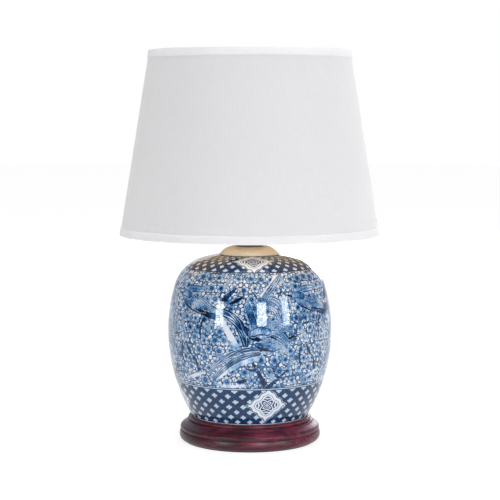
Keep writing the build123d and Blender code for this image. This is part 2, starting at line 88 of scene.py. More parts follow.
# %% Surface helpers
def surface(name, points, material, body, replaces=(), wrap_rows=False, sharp=32):
    """A mesh from a grid of points, rows by columns by xyz, in millimetres.

    Each face joins a point, its neighbour in the next column, and the two in the next row.  The
    columns close round the axis, and the rows do too where the outline is a closed one.
    """
    points = np.array(points, float) / 1000
    rows, columns = points.shape[:2]
    row, column = np.divmod(np.arange((rows - (not wrap_rows)) * columns), columns)
    next_row, next_column = (row + 1) % rows, (column + 1) % columns
    corners = (row, column), (row, next_column), (next_row, next_column), (next_row, column)
    faces = np.stack([r * columns + c for r, c in corners], axis=1)
    mesh = bpy.data.meshes.new(name)
    mesh.from_pydata(points.reshape(-1, 3), [], faces)
    mesh.update()
    piece = bpy.data.objects.new(name, mesh)
    bpy.context.scene.collection.objects.link(piece)
    mesh.shade_smooth()
    mesh.set_sharp_from_angle(angle=radians(sharp))
    mesh.materials.append(material)
    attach(piece, body)
    if replaces:
        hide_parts(*replaces)
    print(f"{name}: {2 * len(faces)} triangles")
    return piece


def spun(outline, columns):
    """The grid of a surface of revolution: (r cos a, r sin a, z) for every angle a."""
    radius, height = np.array(outline, float).T[:, :, None]
    angle = np.arange(columns) * 2 * pi / columns
    return np.stack([radius * np.cos(angle), radius * np.sin(angle), height + 0 * angle], axis=-1)


def closed_poles(piece):
    """Merge the points that coincide where an outline ends on the axis."""
    mesh = bmesh.new()
    mesh.from_mesh(piece.data)
    bmesh.ops.remove_doubles(mesh, verts=mesh.verts, dist=1e-6)
    mesh.to_mesh(piece.data)
    mesh.free()
    return piece


# %% [markdown]
# ## Materials
# A material begins with what the real one is and how its surface was made.  Colours are written
# as the hex values that a colour chart gives, and one function turns them to the linear values
# that the shader works in.  Nodes could be drawn by hand in the editor, but written down they
# can carry real sizes, so one function feeds a node's inputs and one adds a node.


# %% Material helpers
def linear(code):
    """A hex colour as linear red, green, blue and alpha: v/12.92, or ((v+0.055)/1.055)^2.4."""
    value = np.array([int(code[i : i + 2], 16) / 255 for i in (1, 3, 5)])
    value = np.where(value <= 0.04045, value / 12.92, ((value + 0.055) / 1.055) ** 2.4)
    return (*value, 1.0)


def feed(node, links):
    """Give inputs, by name or number or in order, a value or the output of another node.

    A node stands for its first output.
    """
    for key, value in links.items() if isinstance(links, dict) else enumerate(links):
        if isinstance(value, bpy.types.Node):
            value = value.outputs[0]
        if isinstance(value, bpy.types.NodeSocket):
            node.id_data.links.new(value, node.inputs[key])
        else:
            node.inputs[key].default_value = value


def add(tree, kind, links=(), stops=(), **settings):
    """Add one node of a kind, which may end in its operation, with its settings and its links.

    Stops are a colour ramp's places and hex colours.  MapRange takes its value and then the
    range it comes from and the range it goes to.
    """
    kind, _, operation = kind.partition(" ")
    node = tree.nodes.new("ShaderNode" + kind)
    if operation:
        node.operation = operation
    for key, value in settings.items():
        setattr(node, key, value)
    feed(node, links)
    if stops:
        ramp = node.color_ramp.elements
        while len(ramp) < len(stops):
            ramp.new(0.5)
        for element, (place, code) in zip(ramp, stops):
            element.position, element.color = place, linear(code)
    return node


def finish(name, **inputs):
    """A new material with one Principled shader: the shader's inputs go by their names."""
    material = bpy.data.materials.new(name)
    material.use_nodes = True
    shader = material.node_tree.nodes["Principled BSDF"]
    feed(shader, {key.replace("_", " "): value for key, value in inputs.items()})
    return material, material.node_tree, shader


# %% [markdown]
# ## The camera
# The photograph was taken from about shade height with a long lens, tipped down by five
# degrees.  The distance comes from how far the rims of the shade open into ovals.

# %% Camera
camera = bpy.data.objects.new("camera", bpy.data.cameras.new("camera"))
bpy.context.scene.collection.objects.link(camera)
focal_length, camera_distance, camera_height, tipped_down = 108.83, 1.750, 0.3816, 5.216
camera.data.lens, camera.data.clip_end = focal_length, 50
camera.location = (0.0003, -camera_distance, camera_height)
camera.rotation_euler = (radians(90 - tipped_down), 0, 0)
bpy.context.scene.camera = camera
bpy.context.scene.view_settings.view_transform = "Standard"
print(f"camera: {focal_length} mm lens, {camera_distance} m away")

# %% [markdown]
# ## The lamps of the studio
# Three upright softboxes stand in front, and the glaze shows each of them as a narrow bright
# window, so their places follow from those reflections.  A weaker one lights the back, and a
# lamp overhead fills the shade and the shoulders.
#
# Daylight that has come through the linen fills the inside of the shade.  Light can't get
# through a closed cloth and lining in a short render, so four small lamps in the middle face
# outwards instead.  Neither the camera nor the glaze sees them.


# %% Softboxes
def softbox(name, azimuth, height, distance, width, tall, radiance, aim=0.16):
    """An upright rectangular lamp that faces the jar.  Watts = radiance x area x pi."""
    data = bpy.data.lights.new(name, "AREA")
    data.shape, data.size, data.size_y = "RECTANGLE", width, tall
    data.energy = radiance * width * tall * pi
    lamp = bpy.data.objects.new(name, data)
    bpy.context.scene.collection.objects.link(lamp)
    a = radians(azimuth)
    lamp.location = (distance * np.sin(a), -distance * np.cos(a), height)
    to_jar = -lamp.location.copy()
    to_jar.z += aim
    lamp.rotation_euler = to_jar.to_track_quat("-Z", "Y").to_euler()
    return lamp


for row in [
    # name, degrees round from the front, height and distance, width and length in metres,
    # radiance, and the height that it faces where that isn't the jar's middle
    ("softbox_left", -43, 0.66, 3.0, 0.56, 0.92, 16),
    ("softbox_front", 17, 0.72, 3.0, 0.70, 0.92, 18),
    ("softbox_right", 52, 0.70, 3.0, 0.56, 1.02, 13),
    ("softbox_back", 165, 0.9, 3.0, 1.3, 1.1, 5),
    ("top_light", 20, 2.6, 0.4, 1.6, 1.6, 2.4, 0.2),
]:
    softbox(*row)
bulb_height = 0.325
for side in range(4):
    name = f"inside_of_shade_{side}"
    lamp = softbox(name, 90 * side, bulb_height, 0.045, 0.07, 0.15, 3.2, aim=bulb_height)
    lamp.rotation_euler.rotate_axis("Y", pi)
    lamp.data.color = (1.0, 0.92, 0.82)
    lamp.visible_camera = lamp.visible_glossy = lamp.visible_transmission = False
print("lamps:", len(bpy.data.lights))

# %% [markdown]
# ## The room
# A glaze shows the whole room, so the world is part of the look: a white cove behind the lamp
# and a dimmer, cooler room behind the camera.  A direct look, or one through glass, meets plain
# white.

# %% World
world = bpy.data.worlds.new("studio")
bpy.context.scene.world = world
world.use_nodes = True
tree = world.node_tree
put = partial(add, tree)
path = put("LightPath")
mirrored = path.outputs["Is Glossy Ray"]
back = put("SeparateXYZ", [put("TexCoord").outputs["Generated"]]).outputs[1]
room = put("MapRange", [back, -0.1, 0.95, 0.20, 0.9])
fill = put("MapRange", [back, -0.6, 0.6, 0.34, 0.75])
strength = put("Mix", {0: mirrored, 2: fill, 3: room})
direct = put("Math MAXIMUM", [path.outputs["Is Camera Ray"], path.outputs["Is Transmission Ray"]])
strength = put("Mix", {0: direct, 2: strength, 3: 1.0})
cool = put("Mix", {0: mirrored, 6: (1, 1, 1, 1), 7: (0.82, 0.84, 1, 1)}, data_type="RGBA")
feed(tree.nodes["Background"], {"Color": cool.outputs[2], "Strength": strength})
print("world:", len(tree.nodes), "nodes")

# %% [markdown]
# ## The floor
# The photograph's floor is pure white.  Here the white is a glow that only the camera and
# mirrored rays see, with a faint matt paint that keeps the lamp's shadow.  Other light meets an
# ordinary pale paint.  The floor is a disc that ends 0.65 m in front of the lamp, so that the
# belly doesn't mirror a white floor all the way down.

# %% Floor
floor_paint, tree, shader = finish("pale_floor_paint", Roughness=0.9)
tree.nodes.remove(shader)
put = partial(add, tree)
path = put("LightPath")
seen = put("Math MAXIMUM", [path.outputs["Is Camera Ray"], path.outputs["Is Glossy Ray"]])
seen = put("Math MAXIMUM", [seen, path.outputs["Is Transmission Ray"]])
matt = put("BsdfDiffuse", {"Color": (0.88, 0.88, 0.88, 1)})
glow = put("Emission", {"Color": (1, 1, 1, 1), "Strength": 0.82})
faint = put("BsdfDiffuse", {"Color": (0.30, 0.30, 0.30, 1)})
mixed = put("MixShader", [seen, matt, put("AddShader", [glow, faint])])
feed(tree.nodes["Material Output"], {"Surface": mixed})

angle, floor_radius = np.arange(64) * 2 * pi / 64, 5.0
front_edge, floor_height = -0.65, -0.0004
floor_mesh = bpy.data.meshes.new("floor")
floor_x, floor_y = floor_radius * np.cos(angle), floor_radius * (np.sin(angle) + 1) + front_edge
floor_mesh.from_pydata(np.stack([floor_x, floor_y, 0 * angle + floor_height], axis=1), [], [range(64)])
floor = bpy.data.objects.new("floor", floor_mesh)
bpy.context.scene.collection.objects.link(floor)
floor_mesh.materials.append(floor_paint)
print(f"floor: {2 * floor_radius} m across")

# %% [markdown]
# ## The jar's shape
# The jar is cast porcelain: one even wall that sweeps from the foot over the belly to a low
# crown.  A subdivided cage could come near it, but its outside is truly four arcs that run into
# each other, as in the CAD model, so it is drawn with them.  The rows of the mesh lie 1.5 mm
# apart, because the painting is laid out on them.

# %% The jar's outline
jar_low = 1000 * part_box("jar")[0].z
belly_radius, belly_rise, foot_radius, wall = 95.4, 99.5, 68.1, 5.0
mouth_radius, drill_radius, foot_width, foot_depth = 21.5, 7.0, 7.0, 3.0
upper_curve, shoulder_curve, crown_curve = 184.0, 47.0, 137.5
upper_turn, shoulder_turn = 16.4, 58.4
row_spacing, bare_row_spacing = 1.5, 9.0


def jar_side(inset):
    """The wall's outside, or the line this far inside it: four tangent arcs from foot to crown.

    The lower arc passes through the foot: its radius is (d^2 + h^2) / 2d for a foot drawn in by
    d at a depth of h below the belly.
    """
    draw_in = belly_radius - foot_radius
    lower_curve = (draw_in**2 + belly_rise**2) / (2 * draw_in)
    lower_turn = np.degrees(np.arcsin(belly_rise / lower_curve))
    belly = (belly_radius - inset, jar_low + belly_rise)
    lower = arc(belly, -90, lower_curve - inset, -lower_turn, 60)[::-1]
    upper = arc(belly, 90, upper_curve - inset, upper_turn, 40)
    shoulder = arc(upper[-1], 90 + upper_turn, shoulder_curve - inset, shoulder_turn, 40)
    crown_turn = 90 - upper_turn - shoulder_turn
    crown = arc(shoulder[-1], 180 - crown_turn, crown_curve - inset, crown_turn, 40)
    side = np.concatenate([lower, upper[1:], shoulder[1:], crown[1:]])
    return side[side[:, 0] > mouth_radius - 0.5]


outside = evenly(jar_side(0), row_spacing)
outside[-1, 0] = mouth_radius
inside = evenly(jar_side(wall), bare_row_spacing)
jar_floor = jar_low + foot_depth + wall
inside = inside[inside[:, 1] > jar_floor + 1][::-1]
inside[0, 0] = mouth_radius
underside = [
    (foot_radius - wall - 1.5, jar_floor), (drill_radius, jar_floor),
    (drill_radius, jar_low + foot_depth), (foot_radius - foot_width, jar_low + foot_depth),
    (foot_radius - foot_width, jar_low), (foot_radius - 0.6, jar_low),
]
outline = np.concatenate([outside, inside, underside])
along = np.r_[0, np.cumsum(np.linalg.norm(np.diff(outside, axis=0), axis=1))]
print(f"jar wall: {len(outside)} painted rows, {along[-1]:.0f} mm from foot to mouth")

# %% [markdown]
# ## How the jar is painted
# The decoration is transfer-printed and painted cobalt under a clear glaze, in the old manner:
# a field packed with prunus blossom and long-tailed birds between two bands of lattice, with
# pointed medallions.  The print has four equal panels.
#
# To draw it, every face is told which motif it lies in and where its corners are on that motif,
# in millimetres.  A shader can then draw each motif with sharp edges from these places, however
# near the camera comes.

# %% Panels, columns and faces
columns, panels, seed = 480, 4, 11
panel_columns = columns // panels
panel_angle = 360 / panels
jar_points = spun(outline, columns)
face_rows = len(outside) - 1
row = np.arange(face_rows)[:, None, None] + np.array([0, 0, 1, 1])
column = np.arange(panel_columns)[None, :, None] + np.array([0, 1, 1, 0])
corner_angle = column * 360 / columns + 0 * row
corner_along = along[row + 0 * column]
corner_radius = outside[row + 0 * column, 0]
middle_angle, middle_along = corner_angle.mean(2), corner_along.mean(2)
per_degree = corner_radius * pi / 180
rng = np.random.default_rng(seed)
# millimetres along the wall where the field begins and ends, and the jar's mean radius there
field_low, field_high, field_radius = 49.0, 182.5, 92
field_scale = field_radius * pi / 180
print(f"{face_rows} x {panel_columns} faces in a panel")

# %% [markdown]
# ## Where blossoms and buds lie
# Blossoms and buds could be drawn in a repeating pattern, but the eye finds a repeat at once.
# They are dealt out on a staggered grid instead and then moved, turned and sized at random.
# Each face belongs to the motif nearest to it, and its corners carry their place on that motif.


# %% Blossoms and buds
def scattered(spacing, jitter):
    """Places in a panel on a staggered grid, each moved a little at random: angle and height."""
    pitch = panel_angle / round(panel_angle * field_scale / spacing)
    lines = np.arange(field_low - spacing, field_high + spacing, spacing * 0.87)
    across, up = np.meshgrid(np.arange(0, panel_angle, pitch), lines)
    across = across + (np.arange(len(lines)) % 2)[:, None] * pitch / 2
    places = np.stack([across.ravel(), up.ravel()], axis=1)
    return places + rng.uniform(-1, 1, places.shape) * jitter * [1 / field_scale, 1]


def nearest_motif(places, turn, size):
    """For every corner, its place on the motif nearest to its face, in millimetres.

    The difference in angle times the radius gives the way across, and the difference along the
    wall gives the way up; both are then turned and sized as that motif is.
    """
    margin = 15  # degrees of the neighbouring panels that reach into this one
    wide = np.concatenate([places + [shift, 0] for shift in (-panel_angle, 0, panel_angle)])
    turn, size = np.tile(turn, 3), np.tile(size, 3)
    near = (wide[:, 0] > -margin) & (wide[:, 0] < panel_angle + margin)
    wide, turn, size = wide[near], turn[near], size[near]
    across = (middle_angle[..., None] - wide[:, 0]) * per_degree.mean(2)[..., None]
    distance = np.hypot(across, middle_along[..., None] - wide[:, 1]) / size
    pick = distance.argmin(axis=2)
    x = (corner_angle - wide[pick, 0][..., None]) * per_degree
    y = corner_along - wide[pick, 1][..., None]
    c, s = np.cos(turn[pick])[..., None], np.sin(turn[pick])[..., None]
    k = size[pick][..., None]
    return np.stack([(x * c + y * s) / k, (y * c - x * s) / k], axis=-1)


def strewn(spacing, jitter, smallest, largest):
    """One kind of motif all over the panel, each turned and sized at random."""
    places = scattered(spacing, jitter)
    print(f"motifs {spacing} mm apart: {len(places)} in a panel")
    turn, size = rng.uniform(0, 2 * pi, len(places)), rng.uniform(smallest, largest, len(places))
    return nearest_motif(places, turn, size)


blossoms = strewn(13.2, 1.9, 0.98, 1.22)
buds = strewn(6.8, 1.1, 0.7, 1.1)

# %% [markdown]
# ## Birds, plumes and boughs
# Two long-tailed birds, their plumes, leaves and a bough fill the middle of each panel.  Each
# of them is one brush stroke: a curve with a width that swells and tapers.  They could be thin
# meshes laid on the jar, but then they would stand proud of the glaze.  Instead a face inside a
# stroke gets the length along it and the share of the way from its middle line to its edge.

# %% Brush strokes
PLUME, BODY, LEAF, BOUGH, DARK, BARE = 1, 2, 3, 4, 5, 6
strokes, twigs = [], 26
for _ in range(twigs):  # twigs and small dark leaves between the blossoms
    x, y, way = rng.uniform(0, panel_angle), rng.uniform(54, 178), rng.uniform(0, 2 * pi)
    run, lean = rng.uniform(5, 10), rng.uniform(-0.9, 0.9)
    ways = way, way + pi + lean
    ends = [(x + run * np.cos(to) * 0.62, y + run * np.sin(to)) for to in ways]
    style, width = (BOUGH, 0.55) if rng.uniform() < 0.6 else (LEAF, 1.5)
    strokes.append((style, [ends[0], (x, y), ends[1]], [width * 0.6, width, width * 0.4]))
strokes += [
    # style, curve as (degrees round from the front, mm above the foot), half widths in mm
    (BOUGH, [(13, 47), (8, 62), (2, 80)], [3.2, 2.6, 1.2]),
    (BOUGH, [(13, 50), (19, 58), (27, 70)], [2.8, 2.0, 1.0]),
    (BOUGH, [(20, 62), (24, 60), (29, 63)], [1.5, 1.1, 0.7]),
    (BOUGH, [(4, 72), (0, 70), (-3, 74)], [1.4, 1.1, 0.7]),
    (BOUGH, [(-33, 128), (-37, 116), (-35, 105)], [0.7, 1.7, 0.9]),
    (BOUGH, [(-42, 84), (-38, 78), (-39, 66)], [0.8, 1.8, 1.0]),
    (BOUGH, [(38, 100), (34, 86), (38, 74)], [0.7, 1.6, 1.0]),
    (DARK, [(-20, 147), (-16, 154), (-10, 163)], [2.4, 3.6, 1.0]),
    (DARK, [(-14, 146), (-9, 148), (-5, 154)], [1.0, 2.4, 0.8]),
    (DARK, [(-3, 60), (-6, 56), (-9, 57)], [1.2, 3.0, 1.2]),
    (DARK, [(42, 96), (44, 91), (46, 86)], [1.0, 2.6, 1.0]),
    (LEAF, [(27, 72), (31, 78), (30, 88)], [0.6, 3.6, 0.8]),
    (LEAF, [(34, 118), (38, 124), (37, 134)], [0.6, 3.4, 0.6]),
    # bare porcelain left beside the plumes
    (BARE, [(-20, 130), (-14, 112), (-7, 93)], [1.6, 4.0, 3.0]),
    (BARE, [(5, 84), (-8, 84), (-24, 59)], [2.4, 4.6, 1.6]),
    (BARE, [(22, 182), (19, 167), (8, 155)], [1.0, 4.6, 1.2]),
    (BARE, [(-27, 53), (-16, 50), (-3, 53)], [0.8, 2.6, 0.8]),
    (BARE, [(38, 56), (45, 60), (56, 66)], [0.8, 3.4, 0.8]),
    # the bird on the left: tail, lifted wing, body, breast, head and bill
    (PLUME, [(-24, 137), (-9, 136), (-2, 114), (-3, 93)], [3.0, 6.2, 6.0, 2.2]),
    (LEAF, [(-55, 153), (-48, 164), (-41, 158), (-34, 161)], [1.0, 5.0, 5.0, 1.8]),
    (BODY, [(-54, 149), (-46, 143), (-35, 142), (-21, 133)], [4.0, 10.4, 9.4, 3.4]),
    (LEAF, [(-40, 151), (-36, 150), (-30, 143), (-26, 137)], [1.0, 3.4, 3.4, 1.2]),
    (DARK, [(-36, 136), (-29, 130), (-22, 131)], [2.0, 4.4, 2.0]),
    (BODY, [(-57, 153), (-53, 155), (-49, 152)], [3.0, 4.4, 4.0]),
    (DARK, [(-59, 153), (-61, 154), (-64, 155)], [1.4, 0.9, 0.5]),
    # the bird on the right: feathers that curl above it, tail, wings, body, head and bill
    (PLUME, [(9, 151), (14, 160), (19, 167), (27, 181)], [1.4, 3.6, 4.2, 1.2]),
    (LEAF, [(9, 150), (18, 154), (25, 144), (24, 127)], [1.4, 4.4, 4.0, 0.9]),
    (LEAF, [(11, 143), (17, 142), (21, 133), (21, 120)], [1.2, 3.4, 3.2, 0.8]),
    (BODY, [(-2, 146), (1, 134), (3, 120)], [2.6, 4.8, 3.0]),
    (PLUME, [(8, 95), (-5, 95), (-18, 87), (-30, 66)], [2.4, 4.4, 4.4, 1.2]),
    (PLUME, [(6, 90), (-7, 89), (-17, 76), (-27, 57)], [2.2, 3.8, 3.6, 1.0]),
    (BODY, [(5, 100), (12, 95), (20, 97), (27, 105)], [2.8, 5.6, 5.8, 2.8]),
    (DARK, [(5, 98), (8, 95), (12, 94)], [1.2, 2.6, 1.0]),
    (BODY, [(6, 119), (13, 124), (21, 117), (26, 103)], [3.4, 6.6, 6.6, 2.8]),
    (LEAF, [(13, 122), (19, 126), (26, 120), (30, 110)], [1.2, 3.4, 3.6, 1.0]),
    (LEAF, [(9, 113), (16, 116), (23, 110), (28, 97)], [1.4, 4.2, 4.2, 1.0]),
    (LEAF, [(9, 106), (15, 107), (21, 102), (26, 91)], [1.4, 3.4, 3.4, 0.9]),
    (LEAF, [(8, 121), (11, 127), (16, 131)], [0.8, 2.2, 0.6]),
    (LEAF, [(12, 118), (16, 123), (22, 125)], [0.8, 2.4, 0.6]),
    (LEAF, [(16, 113), (21, 117), (27, 117)], [0.8, 2.4, 0.6]),
    (LEAF, [(8, 101), (12, 104), (18, 103)], [0.8, 2.2, 0.6]),
    (LEAF, [(13, 96), (18, 99), (24, 99)], [0.8, 2.2, 0.6]),
    (DARK, [(11, 112), (14, 109), (18, 106)], [0.8, 1.7, 0.6]),
    (LEAF, [(-50, 146), (-46, 140), (-40, 138)], [0.8, 2.6, 0.8]),
    (LEAF, [(-46, 151), (-42, 146), (-36, 146)], [0.8, 2.4, 0.8]),
    (DARK, [(-41, 138), (-37, 135), (-32, 135)], [0.8, 1.8, 0.8]),
    (DARK, [(-3, 119), (0, 109), (6, 106)], [2.2, 4.6, 2.0]),
    (BODY, [(2, 113), (7, 118), (12, 114)], [4.0, 5.0, 4.0]),
    (DARK, [(28, 106), (31, 108), (34, 108)], [1.5, 0.9, 0.5]),
]
print("strokes:", len(strokes))

# %% [markdown]
# ## Which faces a stroke covers
# Each stroke is laid over the panel in turn, and over both neighbours' edges, so that the panels
# join.  A face takes the last stroke that covers its middle, as wet paint does.


# %% Places on the strokes
def along_stroke(places, curve, widths):
    """Where places lie on a stroke: the length along it, and the way across over the half width.

    The stroke's curve is a Bezier, the sum of its points times C(n,i) t^i (1-t)^(n-i), and so
    is its width.  It is cut into short straight runs.  Each place is projected onto every run,
    the nearest run is kept, and the side gives the sign.
    """
    t, n = np.linspace(0, 1, 29)[:, None], len(curve) - 1
    weights = np.hstack([comb(n, i) * t**i * (1 - t) ** (n - i) for i in range(n + 1)])
    line = weights @ (np.array(curve, float) * [field_scale, 1])
    half = weights @ np.array(widths, float)
    run = np.diff(line, axis=0)
    length = np.linalg.norm(run, axis=1)
    offset = places[..., None, :] - line[:-1]
    share = np.clip((offset * run).sum(-1) / length**2, 0, 1)
    gap = offset - share[..., None] * run
    distance = np.linalg.norm(gap, axis=-1)
    pick = distance.argmin(-1)
    take = lambda values: np.take_along_axis(values, pick[..., None], -1)[..., 0]
    start = np.r_[0, np.cumsum(length)][:-1]
    side = np.sign(take(run[:, 0] * offset[..., 1] - run[:, 1] * offset[..., 0]))
    share, nearest = take(share), take(distance)
    width = half[pick] + (half[1:] - half[:-1])[pick] * share
    return np.stack([start[pick] + share * length[pick], side * nearest / width], axis=-1)


outside_stroke, border = 9.0, 1.0  # a place beyond any stroke, and millimetres kept round one
stroke_places = np.full((face_rows, panel_columns, 4, 2), outside_stroke)
stroke_style = np.zeros((face_rows, panel_columns))
corner_plane = np.stack([corner_angle * field_scale, corner_along], axis=-1)
middle_plane = corner_plane.mean(2)
for style, curve, widths in strokes:
    for shift in (-panel_angle, 0, panel_angle):
        moved = [(x + shift, y) for x, y in curve]
        across = np.abs(along_stroke(middle_plane, moved, widths)[..., 1])
        claimed = (across < 1 + border / max(widths)) & (middle_along > field_low - 1)
        if claimed.any():
            stroke_places[claimed] = along_stroke(corner_plane[claimed], moved, widths)
            stroke_style[claimed] = style
print(f"strokes cover {100 * (stroke_style > 0).mean():.0f}% of the wall")

# %% [markdown]
# ## Lattice bands and medallions
# Lattice winds round the foot and the crown: 32 columns of small white crosses between woven
# bands.  Over it lie pointed medallions, one to a panel.  Both are simple enough for a shader,
# which only needs to know how far round and how far up the wall it is.

# %% The jar's maps
# degrees round and millimetres up of a panel's two medallions, and the lattice's column width
(low_angle, low_along), (high_angle, high_along) = (14.0, 27.0), (4.0, 205.0)
lattice_column = 360 / 32
between_medallions = 100  # any height in the field does
is_low = middle_along < between_medallions
centre_angle = np.where(is_low, low_angle, high_angle)
centre_along = np.where(is_low, low_along, high_along)
aside = (middle_angle - centre_angle + panel_angle / 2) % panel_angle - panel_angle / 2
badge_x = (corner_angle - (middle_angle - aside)[..., None]) * per_degree
badge = np.stack([badge_x, corner_along - centre_along[..., None]], axis=-1)
wrap = np.stack([corner_angle / lattice_column, corner_along], axis=-1)


def give_map(piece, name, values):
    """Write a UV map for the mesh's first faces: values are faces by corners by two."""
    layer = piece.data.uv_layers.new(name=name)
    flat = np.zeros((len(piece.data.loops), 2), np.float32)
    flat[: values.size // 2] = values.reshape(-1, 2)
    layer.data.foreach_set("uv", flat.ravel())


def round_the_jar(panel):
    """One panel's values repeated for all four."""
    return np.tile(panel, (1, panels) + (1,) * (panel.ndim - 2))


print(f"medallions: {2 * panels}, lattice columns {lattice_column} degrees wide")

# %% [markdown]
# ## Cobalt under a clear glaze
# Cobalt blue darkens with the thickness of the wash, so the shader works out one number, the
# strength of the ink, and a single ramp turns that into colour: bare porcelain, pale wash,
# mid blue, navy.  Over it all lies one smooth clear glaze.  Its faint waviness is what breaks
# up the reflected windows.  The specular tint is a little blue, as such glazes are.
#
# A hand never draws a perfect line, so a fine wobble, up to half a millimetre, is added to
# every place before anything is drawn.  The field's ground is a cloudy wash with small buds.

# %% Wash and buds
painted, tree, shader = finish(
    "cobalt_painted_porcelain", Roughness=0.05, IOR=1.5, Specular_Tint=(0.82, 0.92, 1.0, 1.0)
)
put = partial(add, tree)
solid = put("TexCoord").outputs["Object"]
# the wobble's noise is 4 mm wide, the cloud's 18 mm
wobble = put("TexNoise", {"Vector": solid, "Scale": 260.0, "Detail": 1.0}).outputs["Color"]
wobble = put("VectorMath ADD", [wobble, (-0.5, -0.5, 0)])
wobble = put("VectorMath SCALE", {0: wobble, 3: 1.6})
cloud = put("TexNoise", {"Vector": solid, "Scale": 55.0, "Detail": 4.0, "Roughness": 0.65})
round_up = put("SeparateXYZ", [put("UVMap", uv_map="wrap")])
height = round_up.outputs[1]
attribute = lambda name: put("Attribute", attribute_name=name).outputs["Fac"]

ink = put("MapRange", [cloud, 0.36, 0.66, 0.16, 0.66])
place = put("VectorMath ADD", [put("UVMap", uv_map="bud"), wobble])
radius = put("VectorMath LENGTH", [place]).outputs["Value"]
bud_radius = 3.6
share = put("Math DIVIDE", [radius, bud_radius])
# from the middle of a bud: a grey dot, white petals, a navy outline
stops = [(0.0, "#303030"), (0.5, "#080808"), (0.70, "#181818"), (0.78, "#F8F8F8"), (1.0, "#E0E0E0")]
bud = put("ValToRGB", [share], stops=stops)
inside = put("Math LESS_THAN", [share, 1.0])
ink = put("Mix", {0: inside, 2: ink, 3: bud})
print("wash and buds:", len(tree.nodes), "nodes")

# %% [markdown]
# ### Blossoms
# A prunus blossom has five petals, so its rim swings in and out five times in one turn: it lies
# 3.9 mm + 1.85 mm |cos(2.5 angle)| from the centre.  The distance from that rim draws the
# outline, the fold between two petals draws a vein, and the distance from the centre draws the
# stamens.

# %% Blossoms
place = put("VectorMath ADD", [put("UVMap", uv_map="blossom"), wobble])
cross = put("SeparateXYZ", [place])
angle = put("Math ARCTAN2", [cross.outputs[1], cross.outputs[0]])
fold = put("Math COSINE", [put("Math MULTIPLY", [angle, 2.5])])
fold = put("Math ABSOLUTE", [fold])
notch_radius, petal_length, line_half, vein_half = 3.9, 1.85, 0.46, 0.14
rim = put("Math MULTIPLY_ADD", [fold, petal_length, notch_radius])
radius = put("VectorMath LENGTH", [place]).outputs["Value"]
beyond = put("Math SUBTRACT", [radius, rim])
blossom_reach = 6.0
stops = [
    (0.0, "#202020"), (0.11, "#383838"), (0.17, "#F0F0F0"), (0.25, "#E0E0E0"), (0.32, "#A8A8A8"),
    (0.54, "#787878"), (0.70, "#101010"),
]
petal = put("ValToRGB", [put("Math DIVIDE", [radius, blossom_reach])], stops=stops)
vein = put("Math LESS_THAN", [fold, vein_half])
vein = put("Math MULTIPLY", [vein, 0.6])
edge = put("Math COMPARE", [beyond, -0.05, line_half])
tint = put("MapRange", [cloud, 0.4, 0.65, -0.04, 0.34])
petal = put("Math ADD", [petal, tint])
petal = put("Math MAXIMUM", [put("Math MAXIMUM", [petal, vein]), edge])
inside = put("Math LESS_THAN", [beyond, 0.40])
ink = put("Mix", {0: inside, 2: ink, 3: petal})
print("with blossoms:", len(tree.nodes), "nodes")

# %% [markdown]
# ### Brush strokes
# A feather is an outline, a shaft down its middle, and barbs that slant away from the shaft.  A
# bough or a body is the same with other strengths, so every face carries its stroke's strengths
# and one piece of shader draws them all.

# %% Strokes
tremble = put("TexNoise", {"Vector": solid, "Scale": 170.0, "Detail": 2.0})
tremble = put("MapRange", {"Value": tremble, "To Min": -0.26, "To Max": 0.26})
place = put("SeparateXYZ", [put("UVMap", uv_map="stroke")])
across = put("Math ADD", [place.outputs[1], tremble])
aside = put("Math ABSOLUTE", [across])
slant = put("Math MULTIPLY", [aside, attribute("slant")])
beat = attribute("beat")
barb = put("Math SINE", [put("Math MULTIPLY_ADD", [place.outputs[0], beat, slant])])
barb = put("Math MULTIPLY", [barb, attribute("barb")])
stroke = put("Math ADD", [barb, attribute("fill")])
uneven = put("MapRange", [cloud, 0.35, 0.65, -0.36, 0.36])
stroke = put("Math ADD", [stroke, uneven])
# the outline, shaft and outer edge, as shares of the way from the middle line to the edge
outline_at, outline_half, shaft_half, outer_edge = 0.90, 0.12, 0.10, 1.03
outlined = put("Math COMPARE", [aside, outline_at, outline_half])
outlined = put("Math MULTIPLY", [outlined, attribute("rim")])
stroke = put("Math MAXIMUM", [stroke, outlined])
shaft = put("Math LESS_THAN", [aside, shaft_half])
shaft = put("Math MULTIPLY", [shaft, attribute("shaft")])
stroke = put("Math MAXIMUM", [stroke, shaft])
beside = put("Math GREATER_THAN", [aside, outer_edge])
around = attribute("around")
stroke = put("Mix", {0: beside, 2: stroke, 3: around})
hidden = put("Math MULTIPLY", [put("Math LESS_THAN", [around, 0.0]), beside])
shown = put("Math SUBTRACT", [attribute("claimed"), hidden])
ink = put("Mix", {0: shown, 2: ink, 3: stroke})
print("with strokes:", len(tree.nodes), "nodes")

# %% [markdown]
# ### Lattice
# Two numbers, p and q, count the cells along the lattice's two diagonals.  A small cross sits
# wherever both are whole.  The bands between the crosses are woven: at each meeting the band
# that goes over changes, so the fine lines run along p in one cell and along q in the next.

# %% Lattice
cell_height, first_row = 14.0, 3.7
up = put("Math DIVIDE", [put("Math SUBTRACT", [height, first_row]), cell_height])
p = put("Math ADD", [round_up.outputs[0], up])
q = put("Math SUBTRACT", [round_up.outputs[0], up])
lean_p = put("MapRange", {"Value": cloud, "To Min": -0.22, "To Max": 0.22})
p = put("Math ADD", [p, lean_p])
near_p, near_q = (put("Math SUBTRACT", [n, put("Math ROUND", [n])]) for n in (p, q))
level = put("Math ABSOLUTE", [put("Math ADD", [near_p, near_q])])
upright = put("Math ABSOLUTE", [put("Math SUBTRACT", [near_p, near_q])])
arms = put("CombineXYZ", [level, upright])
